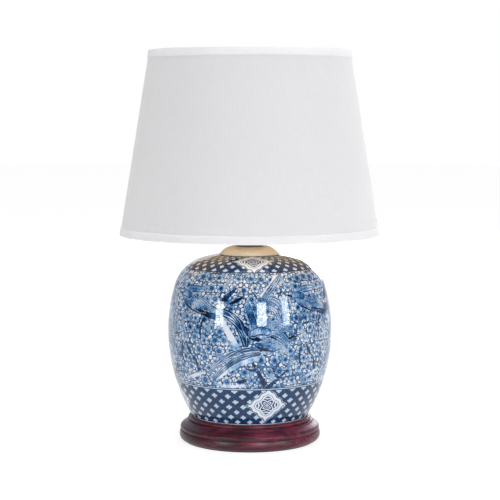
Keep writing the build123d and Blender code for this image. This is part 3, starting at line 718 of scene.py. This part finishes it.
# a cross is two ovals, one level and one upright; these are how often their arms go into a cell
long_arm, short_arm = 2.3, 4.4
wide_arm, tall_arm = (
    put("VectorMath LENGTH", [put("VectorMath MULTIPLY", [arms, size])]).outputs["Value"]
    for size in ((long_arm, short_arm, 0), (short_arm, long_arm, 0))
)
in_cross = put("Math LESS_THAN", [put("Math MINIMUM", [wide_arm, tall_arm]), 1.0])
over_p, over_q = (put("Math SUBTRACT", [put("Math ABSOLUTE", [n]), 0.5]) for n in (near_p, near_q))
cell = put("Math ADD", [put("Math FLOOR", [n]) for n in (p, q)])
turn = put("Math PINGPONG", [cell, 1.0])
on_p, on_q = (put("Math GREATER_THAN", [n, -0.25]) for n in (over_p, over_q))
p_first = put("Mix", {0: on_p, 2: over_q, 3: over_p})
q_first = put("Mix", {0: on_q, 2: over_p, 3: over_q})
strand = put("Mix", {0: turn, 2: p_first, 3: q_first})
# 25 radians to a cell: about four fine lines
strand = put("Math COSINE", [put("Math MULTIPLY", [strand, 25.0])])
woven = put("MapRange", [strand, -0.9, 0.6, 0.74, 1.05])
cross_ink = 0.12
lattice = put("Mix", {0: in_cross, 2: woven, 3: cross_ink})
print("with lattice:", len(tree.nodes), "nodes")

# %% [markdown]
# ### Medallions
# A medallion is a diamond, |x| / 22.5 mm + |y| / 22 mm, drawn in and out by a cosine so that
# its sides ripple.  It has a navy line and a white border round it, and scrolls in its middle.

# %% Medallions
slight = put("VectorMath SCALE", {0: wobble, 3: 0.45})
place = put("VectorMath ADD", [put("UVMap", uv_map="badge"), slight])
half_width, half_height = 22.5, 22
place = put("VectorMath MULTIPLY", [place, (1 / half_width, 1 / half_height, 0)])
both = put("SeparateXYZ", [put("VectorMath ABSOLUTE", [place])])
total = put("Math ADD", [both.outputs[0], both.outputs[1]])
differ = put("Math SUBTRACT", [both.outputs[0], both.outputs[1]])
ripple = put("Math COSINE", [put("Math MULTIPLY", [differ, 3 * pi])])
total = put("Math MULTIPLY_ADD", [ripple, 0.045, total])
stops = [
    (0.0, "#080808"), (0.575, "#080808"), (0.58, "#E0E0E0"), (0.605, "#E0E0E0"), (0.61, "#060606"),
    (0.79, "#060606"), (0.80, "#FFFFFF"), (0.845, "#FFFFFF"), (0.85, "#202020"),
]
frame_ink = put("ValToRGB", [put("Math DIVIDE", [total, 1.2])], stops=stops)
cross = put("SeparateXYZ", [place])
angle = put("Math ARCTAN2", [cross.outputs[1], cross.outputs[0]])
radius = put("VectorMath LENGTH", [place]).outputs["Value"]
lobes = put("Math COSINE", [put("Math MULTIPLY", [angle, 4.0])])
curl = put("Math MULTIPLY_ADD", [radius, 34.0, lobes])
curl = put("Math SINE", [put("Math MULTIPLY_ADD", [lobes, 2.4, curl])])
scroll = put("Math GREATER_THAN", [curl, -0.2])
middle = put("Math LESS_THAN", [total, 0.58])
scroll = put("Math MULTIPLY", [put("Math MULTIPLY", [scroll, middle]), 0.8])
frame_ink = put("Math MAXIMUM", [frame_ink, scroll])
inside = put("Math LESS_THAN", [total, 1.05])
lattice = put("Mix", {0: inside, 2: lattice, 3: frame_ink})
print("with medallions:", len(tree.nodes), "nodes")

# %% [markdown]
# ### From ink to colour
# From foot to crown the wall has a bare foot, lattice, a double line, the field, a dark line
# and lattice again.  A wash is never quite even, so a fine noise lets the ink pool a little
# before the ramp turns it into cobalt.

# %% Bands, ink and colour
field = put("Math COMPARE", [height, (field_low + field_high) / 2, (field_high - field_low) / 2])
ink = put("Mix", {0: field, 2: lattice, 3: ink})
lines = [
    # from and to, in mm along the wall, and the strength of the ink
    (-1, 0.9, 0.15), (46.3, 47.3, 0.9), (47.3, 48.3, 0.1), (48.3, 49.2, 0.85), (182.6, 184.0, 1.0),
]
for low, high, strength in lines:
    line = put("Math COMPARE", [height, (low + high) / 2, (high - low) / 2])
    ink = put("Mix", {0: line, 2: ink, 3: strength})

pool = put("TexNoise", {"Vector": solid, "Scale": 420.0, "Detail": 2.0})
pool = put("MapRange", [pool, 0.3, 0.7, 0.80, 1.08])
ink = put("Math MULTIPLY", [ink, pool])
stops = [
    (0.0, "#C8CFDA"), (0.22, "#88A5C4"), (0.45, "#3D6FA0"), (0.65, "#19487A"), (0.85, "#09264C"),
    (1.0, "#040F22"),
]
colour = put("ValToRGB", [ink], stops=stops)
wave = put("TexNoise", {"Vector": solid, "Scale": 28.0, "Detail": 1.0})
bump = put("Bump", {"Height": wave, "Strength": 0.12, "Distance": 0.0012})
feed(shader, {"Base Color": colour, "Normal": bump})
print("painted glaze:", len(tree.nodes), "nodes")

# %% [markdown]
# ## Bare glaze and foot
# The inside of the jar carries the same clear glaze over bare white porcelain.  The foot ring
# is wiped clean before firing, so that the jar doesn't stick to the kiln shelf, and stays matt.

# %% Bare glaze and unglazed foot
bare_glaze, tree, shader = finish("white_glazed_porcelain", Roughness=0.12, IOR=1.5)
put = partial(add, tree)
cloud = put("TexNoise", {"Vector": put("TexCoord").outputs["Object"], "Scale": 40.0, "Detail": 3.0})
colour = put("ValToRGB", [cloud], stops=[(0.3, "#DDE0E0"), (0.7, "#E9EAE8")])
feed(shader, {"Base Color": colour})
biscuit, tree, shader = finish("unglazed_porcelain_foot", Roughness=0.7, IOR=1.5)
put = partial(add, tree)
grit = put("TexNoise", {"Vector": put("TexCoord").outputs["Object"], "Scale": 900.0, "Detail": 3.0})
colour = put("ValToRGB", [grit], stops=[(0.3, "#CFC8BA"), (0.7, "#E2DDD2")])
bump = put("Bump", {"Height": grit, "Strength": 0.4, "Distance": 0.0002})
feed(shader, {"Base Color": colour, "Normal": bump})
print("white glaze and foot:", len(bare_glaze.node_tree.nodes) + len(tree.nodes), "nodes")

# %% [markdown]
# ## The jar
# One turned mesh carries the painted outside, the glazed inside and the matt foot ring.  The
# painted faces get their maps of places, and each one the strengths of the stroke it lies in.

# %% The jar
jar = surface("ginger_jar", jar_points, painted, "stand", ["jar"], wrap_rows=True)
jar.data.materials.append(bare_glaze)
jar.data.materials.append(biscuit)
index = np.zeros((len(outline), columns), np.int32)
index[face_rows:] = 1
index[-2:] = 2
jar.data.polygons.foreach_set("material_index", index.ravel())
maps = {"wrap": wrap, "blossom": blossoms, "bud": buds, "stroke": stroke_places, "badge": badge}
for name, values in maps.items():
    give_map(jar, name, round_the_jar(values))


def give_strength(name, values):
    """Write one number for each of the mesh's first faces, and nought for the rest."""
    layer = jar.data.attributes.new(name, "FLOAT", "FACE")
    flat = np.zeros(len(jar.data.polygons), np.float32)
    flat[: values.size] = values.ravel()
    layer.data.foreach_set("value", flat)


# %% Strength of each stroke
# ink of the fill, the barbs, the shaft, beside the stroke (-1 is no stroke) and the outline;
# then how fast the barbs follow each other, and how far they slant
strengths = ("fill", "barb", "shaft", "around", "rim", "beat", "slant")
look = {
    0: (0, 0, 0, 0, 0, 0, 0),
    PLUME: (0.52, 0.34, 0.95, 0.12, 1.0, 0.35, 13.0),
    BODY: (0.50, 0.12, 0.0, 0.30, 0.95, 2.2, -6.0),
    LEAF: (0.34, 0.20, 0.8, 0.26, 1.0, 2.6, -7.0),
    BOUGH: (0.90, 0.12, 0.0, -1.0, 1.0, 2.0, 3.0),
    DARK: (0.94, 0.0, 0.0, -1.0, 0.9, 0.0, 0.0),
    BARE: (0.10, 0.0, 0.0, -1.0, 0.0, 0.0, 0.0),
}
style = round_the_jar(stroke_style).astype(int)
table = np.array([look[number] for number in range(len(look))])
for name, values in zip(strengths, table[style].transpose(2, 0, 1)):
    give_strength(name, values)
give_strength("claimed", style > 0)
print("maps:", *maps, "strengths:", *strengths)

# %% [markdown]
# ## Eased outlines
# A lathe or a mould never leaves a perfectly sharp corner.  Averaging an outline over half a
# millimetre gives each corner a small radius, which is what catches the light.  A bevel
# modifier would do it too, but not as evenly on close steps.  A mesh needs most of its rows
# where it bends, so the points are dealt out by how far the line has run and has turned.


# %% Outline with eased corners
def eased(points, ease=0.4, closed=True, reach=6.0, bend=9.0):
    """A line with soft corners: evenly divided, averaged over two eases' length, and thinned.

    The rows fall evenly in (length / reach + degrees turned / bend).
    """
    line = np.array(points, float)
    line = evenly(np.concatenate([line, line[:1]]) if closed else line, ease / 4)
    line = line[:-1] if closed else line
    window = 9  # points that are averaged, each a quarter of the ease apart
    weights = np.hanning(window + 2)[1:-1] / np.hanning(window + 2).sum()
    wide = np.pad(line, ((window // 2, window // 2), (0, 0)), mode="wrap" if closed else "edge")
    soft = np.stack([np.convolve(axis, weights, "valid") for axis in wide.T], axis=1)
    if closed:
        soft = np.concatenate([soft, soft[:1]])
    else:
        soft[0], soft[-1] = line[0], line[-1]
    step = np.diff(soft, axis=0)
    heading = np.unwrap(np.arctan2(step[:, 1], step[:, 0]))
    turned = np.degrees(np.abs(np.gradient(heading)))
    measure = np.r_[0, np.cumsum(np.linalg.norm(step, axis=1) / reach + turned / bend)]
    wanted = np.linspace(0, measure[-1], int(measure[-1]) + 2)
    result = np.stack([np.interp(wanted, measure, axis) for axis in soft.T], axis=1)
    return result[:-1] if closed else result


# %% Curves of an outline
def swell(widest, end, steps=14):
    """An arc that stands upright at its widest point: r = widest - (R - sqrt(R^2 - t^2))."""
    across, up = widest[0] - end[0], end[1] - widest[1]
    radius = (across**2 + up**2) / (2 * across)
    t = np.sign(up) * radius * np.sin(np.linspace(0, np.arcsin(min(1, abs(up) / radius)), steps))
    return np.stack([widest[0] - radius + np.sqrt(radius**2 - t**2), widest[1] + t], axis=1)


def bezier(a, b, c, d, steps=20):
    """(1-t)^3 a + 3t(1-t)^2 b + 3t^2(1-t) c + t^3 d."""
    t = np.linspace(0, 1, steps)[:, None]
    a, b, c, d = (np.array(p, float) for p in (a, b, c, d))
    return (1 - t) ** 3 * a + 3 * t * (1 - t) ** 2 * b + 3 * t**2 * (1 - t) * c + t**3 * d


# %% [markdown]
# ## The turned base
# The base is turned from a hardwood blank: a fat ring, a narrow groove and fillet, an S-curve
# drawn in towards the jar, and a small bead.  It is hollow below, where the cord turns in from
# the back to the rod.  The wood is stained nearly black-red and then lacquered, so its colour
# comes from two things: red that glows through where light falls straight on it, and a clear
# satin coat that greys it towards the sides.  That coat is the shader's own second layer.

# %% Base wood
wood, tree, shader = finish(
    "lacquered_mahogany", Roughness=0.45, IOR=1.5, Specular_IOR_Level=0.1, Coat_Weight=0.6,
    Coat_Roughness=0.36,
)
put = partial(add, tree)
solid = put("TexCoord").outputs["Object"]
# grain runs along X: streaks 3 mm wide and 60 mm long, and pores 0.4 mm by 8 mm
streak = put("Mapping", {"Vector": solid, "Scale": (16.0, 330.0, 330.0)})
streak = put("TexNoise", {"Vector": streak, "Scale": 1.0, "Detail": 4.0, "Distortion": 0.6})
pores = put("Mapping", {"Vector": solid, "Scale": (125.0, 2400.0, 2400.0)})
pores = put("TexNoise", {"Vector": pores, "Scale": 1.0, "Detail": 1.0})
stops = [(0.30, "#2E0B1B"), (0.48, "#451125"), (0.62, "#711B35"), (0.76, "#491328")]
colour = put("ValToRGB", [streak], stops=stops)
pore = put("MapRange", [pores, 0.34, 0.44, 0.35, 1.0])
# patches 50 mm wide, placed at random, that run from nearly black to a warm red
patch = put("TexNoise", {"Vector": solid, "Scale": 20.0, "Detail": 1.0})
patch = put("MapRange", [patch, 0.35, 0.65, 0.45, 1.25])
pore = put("Math MULTIPLY", [pore, patch])
colour = put("Mix", {0: 1.0, 6: colour, 7: pore}, data_type="RGBA", blend_type="MULTIPLY")
bump = put("Bump", {"Height": pores, "Strength": 0.12, "Distance": 0.0002})
feed(shader, {"Base Color": colour.outputs[2], "Normal": bump})
print("wood:", len(tree.nodes), "nodes")

# %% Base shape
torus_radius, foot_edge, fillet_radius, groove_depth = 82.3, 79.4, 81.2, 1.2
torus_low, groove_low, fillet_low, cyma_low = 1.5, 12.5, 13.8, 16.4
bead_groove_low, bead_low, base_top, recess_top = 24.4, 25.2, 29.2, 12.7
bead_radius, lip_radius, cyma_top_radius, recess_radius, rod_hole = 71.8, 69.5, 73.2, 57.0, 5.4
widest, bead_widest = (torus_radius, torus_low + 5.5), (bead_radius, bead_low + 1.6)
# the S-curve leaves and arrives leaning in by a quarter of its rise, held for a third of 11.3 mm
cyma_length, cyma_lean = 11.3, np.array([-0.25, 1])
lean = cyma_length / 3 * cyma_lean / np.linalg.norm(cyma_lean)
start, end = np.array([fillet_radius, cyma_low]), np.array([cyma_top_radius, bead_groove_low])
base_outline = np.concatenate(
    [
        swell(widest, (foot_edge, torus_low))[::-1], swell(widest, (fillet_radius, groove_low))[1:],
        [(fillet_radius - groove_depth, groove_low), (fillet_radius - groove_depth, fillet_low)],
        [(fillet_radius, fillet_low)], bezier(start, start + lean, end - lean, end),
        [(bead_radius - groove_depth, bead_groove_low)],
        swell(bead_widest, (bead_radius - groove_depth, bead_low))[::-1],
        swell(bead_widest, (lip_radius, base_top))[1:],
        [(rod_hole, base_top), (rod_hole, recess_top)],
        [(recess_radius, recess_top), (recess_radius, torus_low)],
    ]
)
base_grid = spun(eased(base_outline), 224)
base = surface("turned_base", base_grid, wood, "stand", ["wood_base"], wrap_rows=True)


# %% The cord's hole in the base
def drilled(piece, *drills):
    """Cut cylinders that run along Y out of a piece: each is (radius, near, far, height) in mm."""
    sides = 48
    i = np.arange(sides)
    a = i * 2 * pi / sides
    side = np.stack([i, i + sides, (i + 1) % sides + sides, (i + 1) % sides], axis=1).tolist()
    ends = [range(sides), range(2 * sides - 1, sides - 1, -1)]
    for radius, near, far, height in drills:
        x, z = radius * np.cos(a), height + radius * np.sin(a)
        ring = [np.stack([x, 0 * a + y, z], axis=1) for y in (near, far)]
        mesh = bpy.data.meshes.new("drill")
        mesh.from_pydata(np.concatenate(ring) / 1000, [], side + ends)
        drill = bpy.data.objects.new("drill", mesh)
        bpy.context.scene.collection.objects.link(drill)
        cut = piece.modifiers.new("hole", "BOOLEAN")
        cut.object, cut.solver = drill, "EXACT"
        bpy.context.view_layer.update()
        evaluated = piece.evaluated_get(bpy.context.evaluated_depsgraph_get())
        fresh = bpy.data.meshes.new_from_object(evaluated)
        piece.modifiers.clear()
        piece.data = fresh
        bpy.data.objects.remove(drill)
    print(f"{piece.name}: {len(piece.data.polygons)} faces after drilling")


cord_height, cord_hole, bushing_seat, flat_back = 7.1, 4.7, 6.6, 79.7
drilled(base, (cord_hole, 40, 90, cord_height), (bushing_seat, flat_back, 90, cord_height))

# %% [markdown]
# ## Plain finishes
# Felt, cork, plastic, metal, wire and lining are each one stuff all over.  Real stuff is never
# one flat colour, so one function gives them all a slight wandering between two hex values and
# a bump of the same grain, and a table says how each differs from the others.


# %% Finishes that are one stuff all over
def plain(name, dark, light, grain, depth, **inputs):
    """A finish whose colour wanders between two hex values, with a bump of the same grain.

    The grain and the depth are in millimetres.
    """
    material, tree, shader = finish(name, **inputs)
    scale = (1000 / grain,) * 3
    place = add(tree, "Mapping", {"Vector": add(tree, "TexCoord").outputs["Object"], "Scale": scale})
    noise = add(tree, "TexNoise", {"Vector": place, "Scale": 1.0, "Detail": 3.0})
    colour = add(tree, "ValToRGB", [noise], stops=[(0.3, dark), (0.7, light)])
    bump = add(tree, "Bump", {"Height": noise, "Strength": 0.5, "Distance": depth / 1000})
    feed(shader, {"Base Color": colour, "Normal": bump})
    return material


translucent = {"Subsurface_Scale": 0.003, "Subsurface_Radius": (1, 1, 1)}
table = {
    # the record's slot: name, darker and lighter colour, grain and depth in mm, shader inputs
    # pressed wool felt: no gloss at all, fibres 1 mm long
    "felt": ("wool_felt", "#16241C", "#2A3F32", 0.8, 0.25, 1.0, 1.45, {"Sheen_Weight": 0.4}),
    # moulded black plastic: a soft gloss from a fine spark-eroded mould
    "black_plastic": ("moulded_black_plastic", "#18181A", "#222225", 1.2, 0.02, 0.33, 1.5),
    # zinc-plated steel: pale, slightly cloudy metal
    "zinc_steel": ("zinc_plated_steel", "#A9ABAE", "#C9CBCE", 3.0, 0.02, 0.34, None),
    # cork granules pressed with glue: matt, with dark grains
    "cork": ("ground_cork", "#6E4A2C", "#B98F60", 1.5, 0.15, 0.85, 1.4),
    # hard-pressed fibreboard, punched out of a sheet
    "fibreboard": ("fibreboard", "#7A5B3C", "#9C7A55", 1.0, 0.08, 0.8, 1.45),
    # stove enamel on spun sheet: a smooth, slightly soft gloss; its cream is greyer and darker than the
    # enamel's own colour, a painted shade for the cap's place under the lampshade
    "cream_metal": ("cream_enamel_painted_shade", "#BFBAAF", "#CAC4B9", 6.0, 0.03, 0.22, 1.5),
    "nylon": ("natural_nylon", "#D9D5C8", "#E4E1D6", 3.0, 0.03, 0.4, 1.53),
    # unglazed ceramic that stands the heat of the contacts
    "white_ceramic": ("steatite_ceramic", "#DAD6CC", "#E6E3DB", 1.0, 0.04, 0.55, 1.6),
    "brass": ("pressed_brass", "#C49A4A", "#D9B566", 4.0, 0.02, 0.28, None),
    # plastic-dipped wire: a thick white coat that levels out the steel below
    "white_wire": ("white_coated_wire", "#D6D6D3", "#E2E2DF", 5.0, 0.04, 0.3, 1.5),
    # the lining is a thin beige plastic sheet, and daylight comes through it
    "shade_lining": (
        "laminated_lining", "#DDC196", "#E6CEA8", 4.0, 0.02, 0.45, 1.5,
        {"Subsurface_Weight": 1.0, **translucent},
    ),
    "bulb_metal": ("nickel_plated_brass", "#B7B2A8", "#CFCBC3", 3.0, 0.02, 0.25, None),
    "black_glass": ("black_vitrite_glass", "#0D0D12", "#17171D", 2.0, 0.02, 0.12, 1.52),
    "white_plastic": ("white_moulded_plastic", "#DEDEDC", "#E6E6E4", 2.0, 0.01, 0.35, 1.5),
    # opal plastic: milky, and light goes a little way into it
    "opal_globe": (
        "opal_plastic_globe", "#E4E5E4", "#ECEDEC", 5.0, 0.01, 0.25, 1.5, {"Subsurface_Weight": 0.3},
    ),
    "white_board": ("white_solder_mask", "#DADCDA", "#E6E8E6", 2.0, 0.02, 0.4, 1.5),
    "linen": ("woven_linen_edge", "#DAD9D6", "#E4E3E0", 1.0, 0.1, 0.9, 1.45),
}
finishes = {"porcelain": bare_glaze, "mahogany": wood}
for slot, (name, dark, light, grain, depth, roughness, ior, *more) in table.items():
    # a metal keeps the default IOR
    stuff = {"Metallic": 1.0} if ior is None else {"IOR": ior}
    inputs = {"Roughness": roughness, **stuff, **(more[0] if more else {})}
    finishes[slot] = plain(name, dark, light, grain, depth, **inputs)
print("finishes:", len(finishes))
for name, node in nodes.items():
    for place in node.material_slots:
        place.material = finishes[place.material.name.split(".")[0]]

# %% [markdown]
# ## The metal cap
# A dome spun from thin sheet closes the jar's mouth and carries the lampholder.  Its edge is
# rolled under.  In the photograph its side leans in, so it isn't quite a quarter of an oval.


# %% Vase cap
def heights(node):
    """A CAD node's lowest and highest place in millimetres."""
    low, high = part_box(node)
    return 1000 * low.z, 1000 * high.z


cap_low, cap_top = heights("vase_cap")
roll, sheet_thick, cap_edge, cap_flat, cap_seat = 0.85, 0.9, 34.15, 17.8, 33.3


def dome_side(foot, top):
    """A curve that leaves the foot leaning in by 2 mm and comes to the top almost level."""
    across, up = 0.50 * (foot[0] - top[0]), 0.40 * (top[1] - foot[1])
    return bezier(foot, (foot[0] - 2.0, foot[1] + up), (top[0] + across, top[1] - 0.4), top, 28)


def turned(name, node, grid, slot, body, paint=None, closed=True):
    """A turned piece that stands for a node, with the finish of a slot or another paint."""
    piece = surface(name, grid, paint or finishes[slot], body, [node], wrap_rows=closed)
    return piece


a = np.linspace(-pi / 2, pi / 2, 12)
rolled_edge = np.stack([cap_edge + roll * np.cos(a), cap_low + roll + roll * np.sin(a)], axis=1)
dome_low, under_top = cap_low + 2 * roll, cap_top - sheet_thick
cap_outline = np.concatenate(
    [
        [(cap_seat, cap_low)], rolled_edge, dome_side((cap_edge, dome_low), (cap_flat, cap_top))[1:],
        [(rod_hole, cap_top), (rod_hole, under_top)],
        dome_side((cap_edge - sheet_thick, dome_low), (cap_flat, under_top))[::-1],
    ]
)
cap_grid = spun(eased(cap_outline, 0.25), 144)
turned("vase_cap_dome", "vase_cap", cap_grid, "cream_metal", "stand")

# %% [markdown]
# ## Threads and grips
# The lampholder's sleeve has a coarse round thread, and so have the bulb's cap and the shell
# that it screws into.  A thread could be a profile swept along a helix, but it is simpler as a
# wave in the turned surface that climbs by one pitch in each turn.  The shade ring has 24
# hollows round its edge for the fingers.


# %% Lampholder sleeve
def threaded(grid, low, high, inner, depth, pitch):
    """Cut a thread where r > inner: r - depth (1 + cos 2pi(z/pitch - a/2pi)) / 2, faded at the ends."""
    x, y, z = np.moveaxis(grid, -1, 0)
    r, a = np.hypot(x, y), np.arctan2(y, x)
    fade = np.clip(np.minimum(z - low, high - z) / pitch * 1.5, 0, 1) * (r > inner)
    scale = 1 - depth * fade * (1 + np.cos(2 * pi * z / pitch - a)) / 2 / r
    return np.stack([x * scale, y * scale, z], axis=-1)


core_low, core_top = heights("holder_core")
seat, sleeve_top = heights("spider_hub")[0], heights("holder_body")[1]
bore, ledge_bore, foot, wide, shoulder, neck = 17.2, 14.6, 17.9, 20, 24, 19.6
ledge_low, shoulder_low = core_low - 3, seat - 2.6
sleeve = [
    (ledge_bore, ledge_low), (foot, ledge_low), (foot, core_low), (wide, core_low),
    (wide, shoulder_low), (shoulder, shoulder_low), (shoulder, seat), (neck, seat),
    (neck, sleeve_top), (bore, sleeve_top), (bore, core_low), (ledge_bore, core_low),
]
grid = spun(eased(sleeve, 0.3, reach=0.45), 96)
grid = threaded(grid, seat + 0.8, sleeve_top - 0.4, inner=19.0, depth=0.9, pitch=3.0)
turned("threaded_sleeve", "holder_body", grid, "black_plastic", "stand")

# %% Shade ring
low, high = heights("shade_ring")
ring_bore, ring_edge, ring_collar, step = 19.68, 28, 23.84, low + 6.6
ring = [
    (ring_bore, low), (ring_edge, low), (ring_edge, step), (ring_collar, step),
    (ring_collar, low + 8.6), (ring_bore, low + 8.6),
]
grid = spun(eased(ring, 0.6, reach=1.2), 384)
x, y, z = np.moveaxis(grid, -1, 0)
r, a = np.hypot(x, y), np.degrees(np.arctan2(y, x))
# hollows 0.85 mm deep and 15 degrees apart: depth x exp(-(degrees from the middle / 2.4)^2)
deep, apart = 0.85, 15
from_middle = (a + apart / 2) % apart - apart / 2
hollow = deep * np.exp(-((from_middle / 2.4) ** 2)) * np.clip((r - 24.5) / 2.5, 0, 1)
grid = np.stack([x * (1 - hollow / r), y * (1 - hollow / r), z], axis=-1)
turned("gripped_shade_ring", "shade_ring", grid, "black_plastic", "shade_ring")

# %% Screw shell and bulb cap
screw_pitch, shell_bore, shell_outside, shell_hole, sheet = 3.62, 14, 14.4, 12.4, 0.4
shell = [
    (shell_hole, core_top + sheet), (shell_hole, core_top), (shell_outside, core_top),
    (shell_outside, core_top + 21), (shell_bore, core_top + 21), (shell_bore, core_top + sheet),
]
grid = spun(eased(shell, 0.12, reach=0.4), 96)
grid = threaded(grid, core_top + 2, core_top + 20, inner=13.8, depth=0.6, pitch=screw_pitch)
turned("threaded_shell", "screw_shell", grid, "brass", "stand", finishes["bulb_metal"])

low, high = heights("bulb_cap")
inner, outer, tip, shoulder = 12.7, 13.2, 10.2, low + 1.8
cup = [
    (0, low), (tip, low), (outer, shoulder), (outer, high), (inner, high), (inner, shoulder),
    (0, shoulder),
]
grid = spun(eased(cup, 0.15, closed=False, reach=0.4), 96)
grid = threaded(grid, low + 2.4, high - 2.4, inner=12.0, depth=0.75, pitch=screw_pitch)
closed_poles(turned("threaded_bulb_cap", "bulb_cap", grid, "bulb_metal", "bulb", closed=False))

# %% [markdown]
# ## The linen shade
# The cover is one piece of white linen, cut as a flat curved strip, laminated to a stiff lining
# and glued with an overlap at the back.  Its edges are wrapped with narrow strips of the same
# linen round the wire rings.  Threads follow the flat cloth, so the material reads a map of
# millimetres round and along the cone.  Daylight goes into the cloth and comes out again, which
# the shader's subsurface part stands for.

# %% Linen
linen, tree, shader = finish(
    "white_linen", Roughness=0.92, IOR=1.45, Sheen_Weight=0.2, Sheen_Roughness=0.5,
    Subsurface_Weight=0.85, Subsurface_Scale=0.003, Subsurface_Radius=(1, 1, 1),
)
put = partial(add, tree)
weave = put("UVMap", uv_map="weave")
# real threads lie 0.5 mm apart; they are drawn 1.1 mm apart, so that they show at all
yarn = {"Vector": weave, "Scale": 0.29, "Distortion": 1.5, "Detail": 1.0, "Detail Scale": 0.6}
warp = put("TexWave", yarn, bands_direction="X")
weft = put("TexWave", yarn, bands_direction="Y")
threads = put("Math MULTIPLY", [warp.outputs["Fac"], weft.outputs["Fac"]])
# slubs: thick places in the yarn, 1 mm by 14 mm across and 1 mm by 22 mm along
slub_a = put("Mapping", {"Vector": weave, "Scale": (0.07, 0.9, 1)})
slub_a = put("TexNoise", {"Vector": slub_a, "Scale": 1.0, "Detail": 2.0})
slub_b = put("Mapping", {"Vector": weave, "Scale": (0.9, 0.045, 1)})
slub_b = put("TexNoise", {"Vector": slub_b, "Scale": 1.0, "Detail": 2.0})
slubs = put("Math ADD", [slub_a, slub_b])
tone = put("MapRange", [slubs, 0.7, 1.3, 0.25, 0.75])
tone = put("Math MULTIPLY_ADD", [threads, 0.35, tone])
colour = put("ValToRGB", [tone], stops=[(0.2, "#E5E3E8"), (0.9, "#ECEAEF")])
relief = put("Math ADD", [slubs, threads])
bump = put("Bump", {"Height": relief, "Strength": 0.12, "Distance": 0.00025})
feed(shader, {"Base Color": colour, "Normal": bump})
print("linen:", len(tree.nodes), "nodes")

# %% [markdown]
# ## The cover
# Stretched over its lining, the cover is a plain cone of cloth, open above and below.  It stops
# a little short of both edges, where the hems take over.

# %% Cover
shade_low, shade_top = heights("bottom_hem")[0], heights("top_hem")[1]
bottom_radius, top_radius, mean_radius, cloth = 150.0, 115.4, 133.0, 0.5
shade_columns, short_of_edge = 240, 1.8


def shade_radius(height):
    """Outside radius of the cone at a height: a straight line between the two rims."""
    return np.interp(height, [shade_low, shade_top], [bottom_radius, top_radius])


def cloth_map(piece, outline):
    """Millimetres round and along the cloth for every face corner of a turned piece."""
    ring = np.concatenate([outline, outline[:1]])
    along = np.r_[0, np.cumsum(np.linalg.norm(np.diff(ring, axis=0), axis=1))]
    row = np.arange(len(outline))[:, None, None] + np.array([0, 0, 1, 1])
    column = np.arange(shade_columns)[None, :, None] + np.array([0, 1, 1, 0])
    round_mm = column * 2 * pi / shade_columns * mean_radius + 0 * row
    give_map(piece, "weave", np.stack([round_mm, along[row] + 0 * column], axis=-1))


levels = np.linspace(shade_low + short_of_edge, shade_top - short_of_edge, 28)
outer = np.stack([shade_radius(levels), levels], axis=1)
cover_outline = np.concatenate([outer, (outer - [cloth, 0])[::-1]])
cover_grid = spun(cover_outline, shade_columns)
cover = turned("linen_cover", "shade_linen", cover_grid, "linen", "shade", linen)
cloth_map(cover, cover_outline)

# %% [markdown]
# ## The hems
# A strip of the same linen is folded over each ring wire.  It could be the cover's own edge
# rolled in, but on such shades it is a separate tape, and its edge throws a fine line of shadow.

# %% Hems
hem_height, hem_thick, turn_in, wire, gap = 9.0, 0.8, 3.0, 1.5, 0.02


def hem(name, node, edge, sign):
    """A strip of linen folded over a ring wire: up the outside and a little way up the inside."""
    over, inside_end = edge + sign * hem_height, edge + sign * turn_in
    wire_height = edge + sign * (hem_thick + 0.1 + wire)
    inner = shade_radius(wire_height) - 2 * cloth - 2 * wire - 0.2
    at_edge, at_end, fold = shade_radius(edge), shade_radius(over), edge + sign * hem_thick
    outline = [
        (inner - hem_thick, inside_end), (inner - hem_thick, edge), (at_edge + hem_thick, edge),
        (at_end + hem_thick, over), (at_end + gap, over), (at_edge + gap, fold), (inner, fold),
        (inner, inside_end),
    ]
    outline = eased(outline[::sign], 0.35, reach=3.0)
    strip = turned(name, node, spun(outline, shade_columns), "linen", "shade", linen)
    cloth_map(strip, outline)
    return strip


bottom = hem("linen_hem_bottom", "bottom_hem", shade_low, 1)
top = hem("linen_hem_top", "top_hem", shade_top, -1)

# %% [markdown]
# ## The seam
# The strip's two ends overlap by 16 mm at the back and are glued.  The overlap is a thin closed
# band over the cover, whose edges and ends are drawn in to the cover's face.

# %% Seam
overlap, seam_thick, seam_columns, seam_rows = 16, 0.5, 13, 30
seam_low, seam_high = shade_low + hem_height + 0.3, shade_top - hem_height - 0.3
rows = np.linspace(seam_low, seam_high, seam_rows)
rows = np.r_[seam_low, rows, seam_high]
half = np.degrees(overlap / 2 / bottom_radius)
out, back = np.linspace(-half, half, seam_columns), np.linspace(half, -half, seam_columns)
loop_angle = radians(90) + np.radians(np.r_[out, back])
loop_rise = seam_thick * np.r_[0, np.ones(seam_columns - 2), 0, np.zeros(seam_columns)]
pinch = np.r_[0, np.ones(seam_rows), 0][:, None]
r = shade_radius(rows)[:, None] + loop_rise * pinch
seam_points = np.stack([r * np.cos(loop_angle), r * np.sin(loop_angle), rows[:, None] + 0 * r], axis=-1)
seam = surface("linen_seam", seam_points[:, ::-1], linen, "shade", ["shade_seam"])
row = np.arange(seam_rows + 1)[:, None, None] + np.array([0, 0, 1, 1])
column = np.arange(2 * seam_columns)[None, :, None] + np.array([0, 1, 1, 0])
give_map(seam, "weave", np.stack([rows[row] + 0 * column, column * 1.3 + 0 * row], axis=-1))

# %% The sheet as it was cut
slant = np.hypot(bottom_radius - top_radius, shade_top - shade_low)
